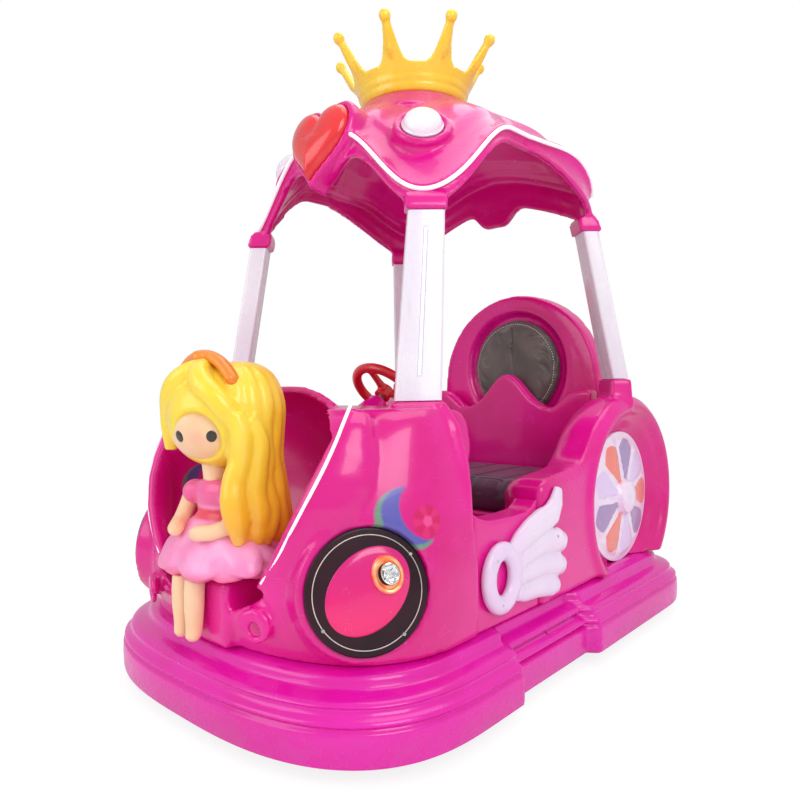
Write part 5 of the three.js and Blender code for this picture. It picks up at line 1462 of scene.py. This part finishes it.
# the yellow hair turns darker orange towards its lower ends: painted shade
hair_colour_and_painted_shade = hair_z.above(0.44, 0.76).blend(rgb(0.98, 0.46, 0.02), rgb(0.99, 0.72, 0.05))
hair_colour_and_painted_shade = (strands.above(0.5, 0.75) * 0.6).blend(hair_colour_and_painted_shade, rgb(1.0, 0.78, 0.16))
# and darker orange again over the back of the head: painted shade
hair_colour_and_painted_shade = ((1 - hair_x.above(0.67, 0.79)) * 0.5).blend(hair_colour_and_painted_shade, rgb(0.98, 0.42, 0.02))
feed(hair_paint, Base_Color=hair_colour_and_painted_shade, Roughness=strands * 0.15 + 0.24, relief=(strands, 0.0018))
band_orange = gloss_plastic("band_orange", rgb(0.94, 0.32, 0.02), rgb(0.86, 0.22, 0.012), 0.3, 0.1)
eye_dark = gloss_plastic("eye_dark", rgb(0.035, 0.022, 0.018), rgb(0.02, 0.014, 0.012), 0.3)

head_at, FACING = Vector((0.790, 0, 0.742)), 0.54


def bend(points, radii, steps=4):
    """Smooths a line of points and radii with a curve through them."""
    rows = [(*Vector(p), r) for p, r in zip(points, radii)]
    line, sizes = [], []
    for i in range(len(rows) - 1):
        a, b, c, d = rows[max(i - 1, 0)], rows[i], rows[i + 1], rows[min(i + 2, len(rows) - 1)]
        for k in range(steps + (i == len(rows) - 2)):
            t = k / steps
            row = [0.5 * (2 * q + (r - p) * t + (2 * p - 5 * q + 4 * r - s) * t * t + (3 * q - p - 3 * r + s)
                          * t ** 3)
                   for p, q, r, s in zip(a, b, c, d)]
            line.append(Vector(row[:3]))
            sizes.append(row[3])
    return line, sizes


head = cast(egg(head_at, (0.103, 0.103, 0.099), 0, 32),
            join(peg((0.784, 0, 0.600), (0.788, 0, 0.680), 0.030, 0.034)), grain=0.005, rounds=4)
settle("doll_head_moulding", head, skin_paint, ["doll_head"], 80)
for side, sign in SIDES:
    gaze = Matrix.Rotation(FACING + sign * 0.43, 3, "Z") @ Vector((0.96, 0, -0.25)).normalized()
    dot = egg((0, 0, 0), (0.0125, 0.0145, 0.0035), 0, 12)
    moved(dot, Matrix.Translation(head_at + gaze * 0.1015) @ along(gaze))
    settle(f"doll_eye_{side}", dot, eye_dark, crease=60)


def waist(outline, folds, deep):
    """Lofts (radius, height, fold) stations round the doll's middle; folds ripple the outline."""
    rings = []
    for radius, height, fold in outline:
        ring = []
        for angle in circle(144):
            ripple = abs(math.sin(folds * angle / 2 + 0.4)) ** 0.7
            r = radius * (1 + deep * fold * (ripple - 0.55))
            x = 0.784 + 0.58 * r * math.cos(angle)
            hang = fold * (0.12 * deep * (0.5 - ripple) - 0.012 * smooth(x, 0.840, 0.868))
            ring.append(Vector((x, r * math.sin(angle), 0.3725 + height + hang)))
        rings.append(ring)
    return loft(rings, cap=True)


under = waist([(0.060, 0.008, 0), (0.156, 0.010, 0.8), (0.176, 0.018, 1), (0.176, 0.032, 1), (0.140, 0.055, 0.8),
               (0.080, 0.080, 0)], folds=9, deep=0.10)
over = waist([(0.070, 0.034, 0), (0.176, 0.030, 1), (0.190, 0.036, 1), (0.189, 0.048, 1), (0.178, 0.068, 0.9),
              (0.150, 0.092, 0.8), (0.112, 0.116, 0.5),
              (0.078, 0.134, 0.1), (0.062, 0.150, 0), (0.070, 0.185, 0), (0.074, 0.205, 0), (0.060, 0.226, 0),
              (0.020, 0.234, 0)], folds=7, deep=0.20)
sleeves = [egg((0.794, y, 0.566), (0.034, 0.032, 0.032), 0, 16) for y in (-0.078, 0.078)]
dress = cast(under, join(over, *sleeves), grain=0.0048, rounds=3)
settle("doll_dress_moulding", dress, dress_paint, ["doll_dress"], 80)
arms = gather_up([tube([(0.800, s * 0.088, 0.556), (0.806, s * 0.102, 0.525), (0.822, s * 0.100, 0.498),
                        (0.848, s * 0.076, 0.488), (0.872, s * 0.046, 0.486),
                        (0.880, s * 0.036, 0.484)], [0.022, 0.021, 0.021, 0.020, 0.019, 0.011], 20)
                  for s in (1, -1)])
settle("doll_arms", arms, skin_paint, crease=60)
leg_line = [(0.866, 0.374), (0.869, 0.340), (0.870, 0.300), (0.870, 0.262), (0.872, 0.244), (0.877, 0.232),
            (0.879, 0.2255)]
legs = gather_up([cast(tube([(x, s * (0.0285 - 0.02 * (0.374 - z)), z) for x, z in leg_line],
                            [0.0245, 0.0245, 0.0235, 0.0205, 0.0195, 0.0165, 0.006], 24),
                       grain=0.003, rounds=4) for s in (1, -1)])
settle("doll_legs_moulding", legs, skin_paint, ["doll_legs"], 80)

cap = egg((0.772, 0.006, 0.762), (0.126, 0.136, 0.130), 0, 40)
window = moved(egg((0, 0, 0), (0.110, 0.090, 0.098), 0, 40),
               Matrix.Translation(head_at + polar(0.160, FACING, -0.052)) @ Matrix.Rotation(FACING, 4, "Z"))
fall = loft([[Vector((0.706 + a * math.cos(t), 0.030 + b * math.sin(t), z)) for t in circle(48)]
                          for a, b, z in [(0.040, 0.066, 0.450), (0.060, 0.088, 0.465), (0.064, 0.094, 0.52),
                                          (0.062, 0.090, 0.60), (0.066, 0.088, 0.68),
                                          (0.080, 0.100, 0.76)]], cap=True)
locks = cut(window) + join(fall)
BACK_LOCKS = 12
for i in range(BACK_LOCKS):
    turn = math.radians(-122 + 200 * i / (BACK_LOCKS - 1)) + math.pi
    sway = 0.09 * math.sin(i * 2.3)
    line = [Vector((0.744 + reach * 0.80 * math.cos(turn + wave * sway),
                    0.012 + reach * math.sin(turn + wave * sway), z))
            for reach, z, wave in [(0.050, 0.882, 0), (0.100, 0.850, 0), (0.124, 0.790, 0), (0.122, 0.725, 0.6),
                                   (0.118, 0.660, -0.6), (0.124, 0.600, 1.0), (0.132, 0.540, -0.4),
                                   (0.138, 0.490, 0.8),
                                   (0.126, 0.450, 0.2)]]
    size = [0.016, 0.025, 0.028, 0.027, 0.027, 0.029, 0.030, 0.028, 0.013]
    # the locks by the far cheek end at the chin
    reach = 5 if i > BACK_LOCKS - 4 else 9
    locks += join(tube(*bend(line[:reach], size[:reach - 1] + [0.012]), 14))
for roll, size in [
    ([(0.806, 0.020, 0.890), (0.842, 0.034, 0.870), (0.858, 0.066, 0.842), (0.852, 0.102, 0.814),
      (0.836, 0.124, 0.782), (0.816, 0.134, 0.745)],
     [0.018, 0.026, 0.029, 0.028, 0.027, 0.022]),
    ([(0.806, 0.022, 0.890), (0.844, 0.004, 0.872), (0.864, -0.028, 0.848), (0.862, -0.066, 0.816),
      (0.850, -0.094, 0.775), (0.844, -0.104, 0.725),
      (0.846, -0.104, 0.675)], [0.018, 0.026, 0.029, 0.028, 0.026, 0.024, 0.014]),
    ([(0.820, 0.140, 0.770), (0.808, 0.148, 0.715), (0.806, 0.140, 0.660), (0.822, 0.134, 0.610),
      (0.830, 0.140, 0.560), (0.820, 0.142, 0.510),
      (0.812, 0.134, 0.462)], [0.022, 0.028, 0.029, 0.029, 0.031, 0.029, 0.014]),
    ([(0.790, 0.146, 0.760), (0.768, 0.154, 0.700), (0.770, 0.148, 0.640), (0.776, 0.146, 0.580),
      (0.768, 0.152, 0.520), (0.764, 0.144, 0.466)],
     [0.022, 0.028, 0.030, 0.031, 0.030, 0.014]),
]:
    locks += join(tube(*bend(roll, size), 16))
hair = cast(cap, locks, grain=0.0048, rounds=3)
settle("doll_hair_moulding", hair, hair_paint, ["doll_hair"], 80)
band_line = [(0.800 + 0.010 * math.cos(a), 0.136 * math.sin(a), 0.772 + 0.138 * math.cos(a))
             for a in [math.radians(-62 + 124 * k / 24) for k in range(25)]]
band = cast(tube(band_line, [0.007] + [0.0150] * 23 + [0.007], 14, 1.3),
            join(egg((0.824, 0, 0.903), (0.020, 0.026, 0.020), 0, 16)),
            grain=0.003, rounds=3)
settle("doll_hairband", band, band_orange, crease=80)

# ------------------------------------------------------------------ bowl rim highlight
# Two thin glowing strips run along the crest of the round band, one down each side of the bowl: a painted highlight,
# in the same glowing lamp material as the lamp strip round the roof's edge.
rim_highlight_line = bend([(x + 0.012, y + 0.010, z + 0.018) for x, y, z in brow], [0.0042] * len(brow), 8)[0]
rim_highlight_strips = gather_up([tube([(p.x, sign * p.y, p.z) for p in rim_highlight_line], 0.0042, 10) for sign in (1, -1)])
settle("bowl_rim_painted_highlight", rim_highlight_strips, edge_lamps, crease=60)
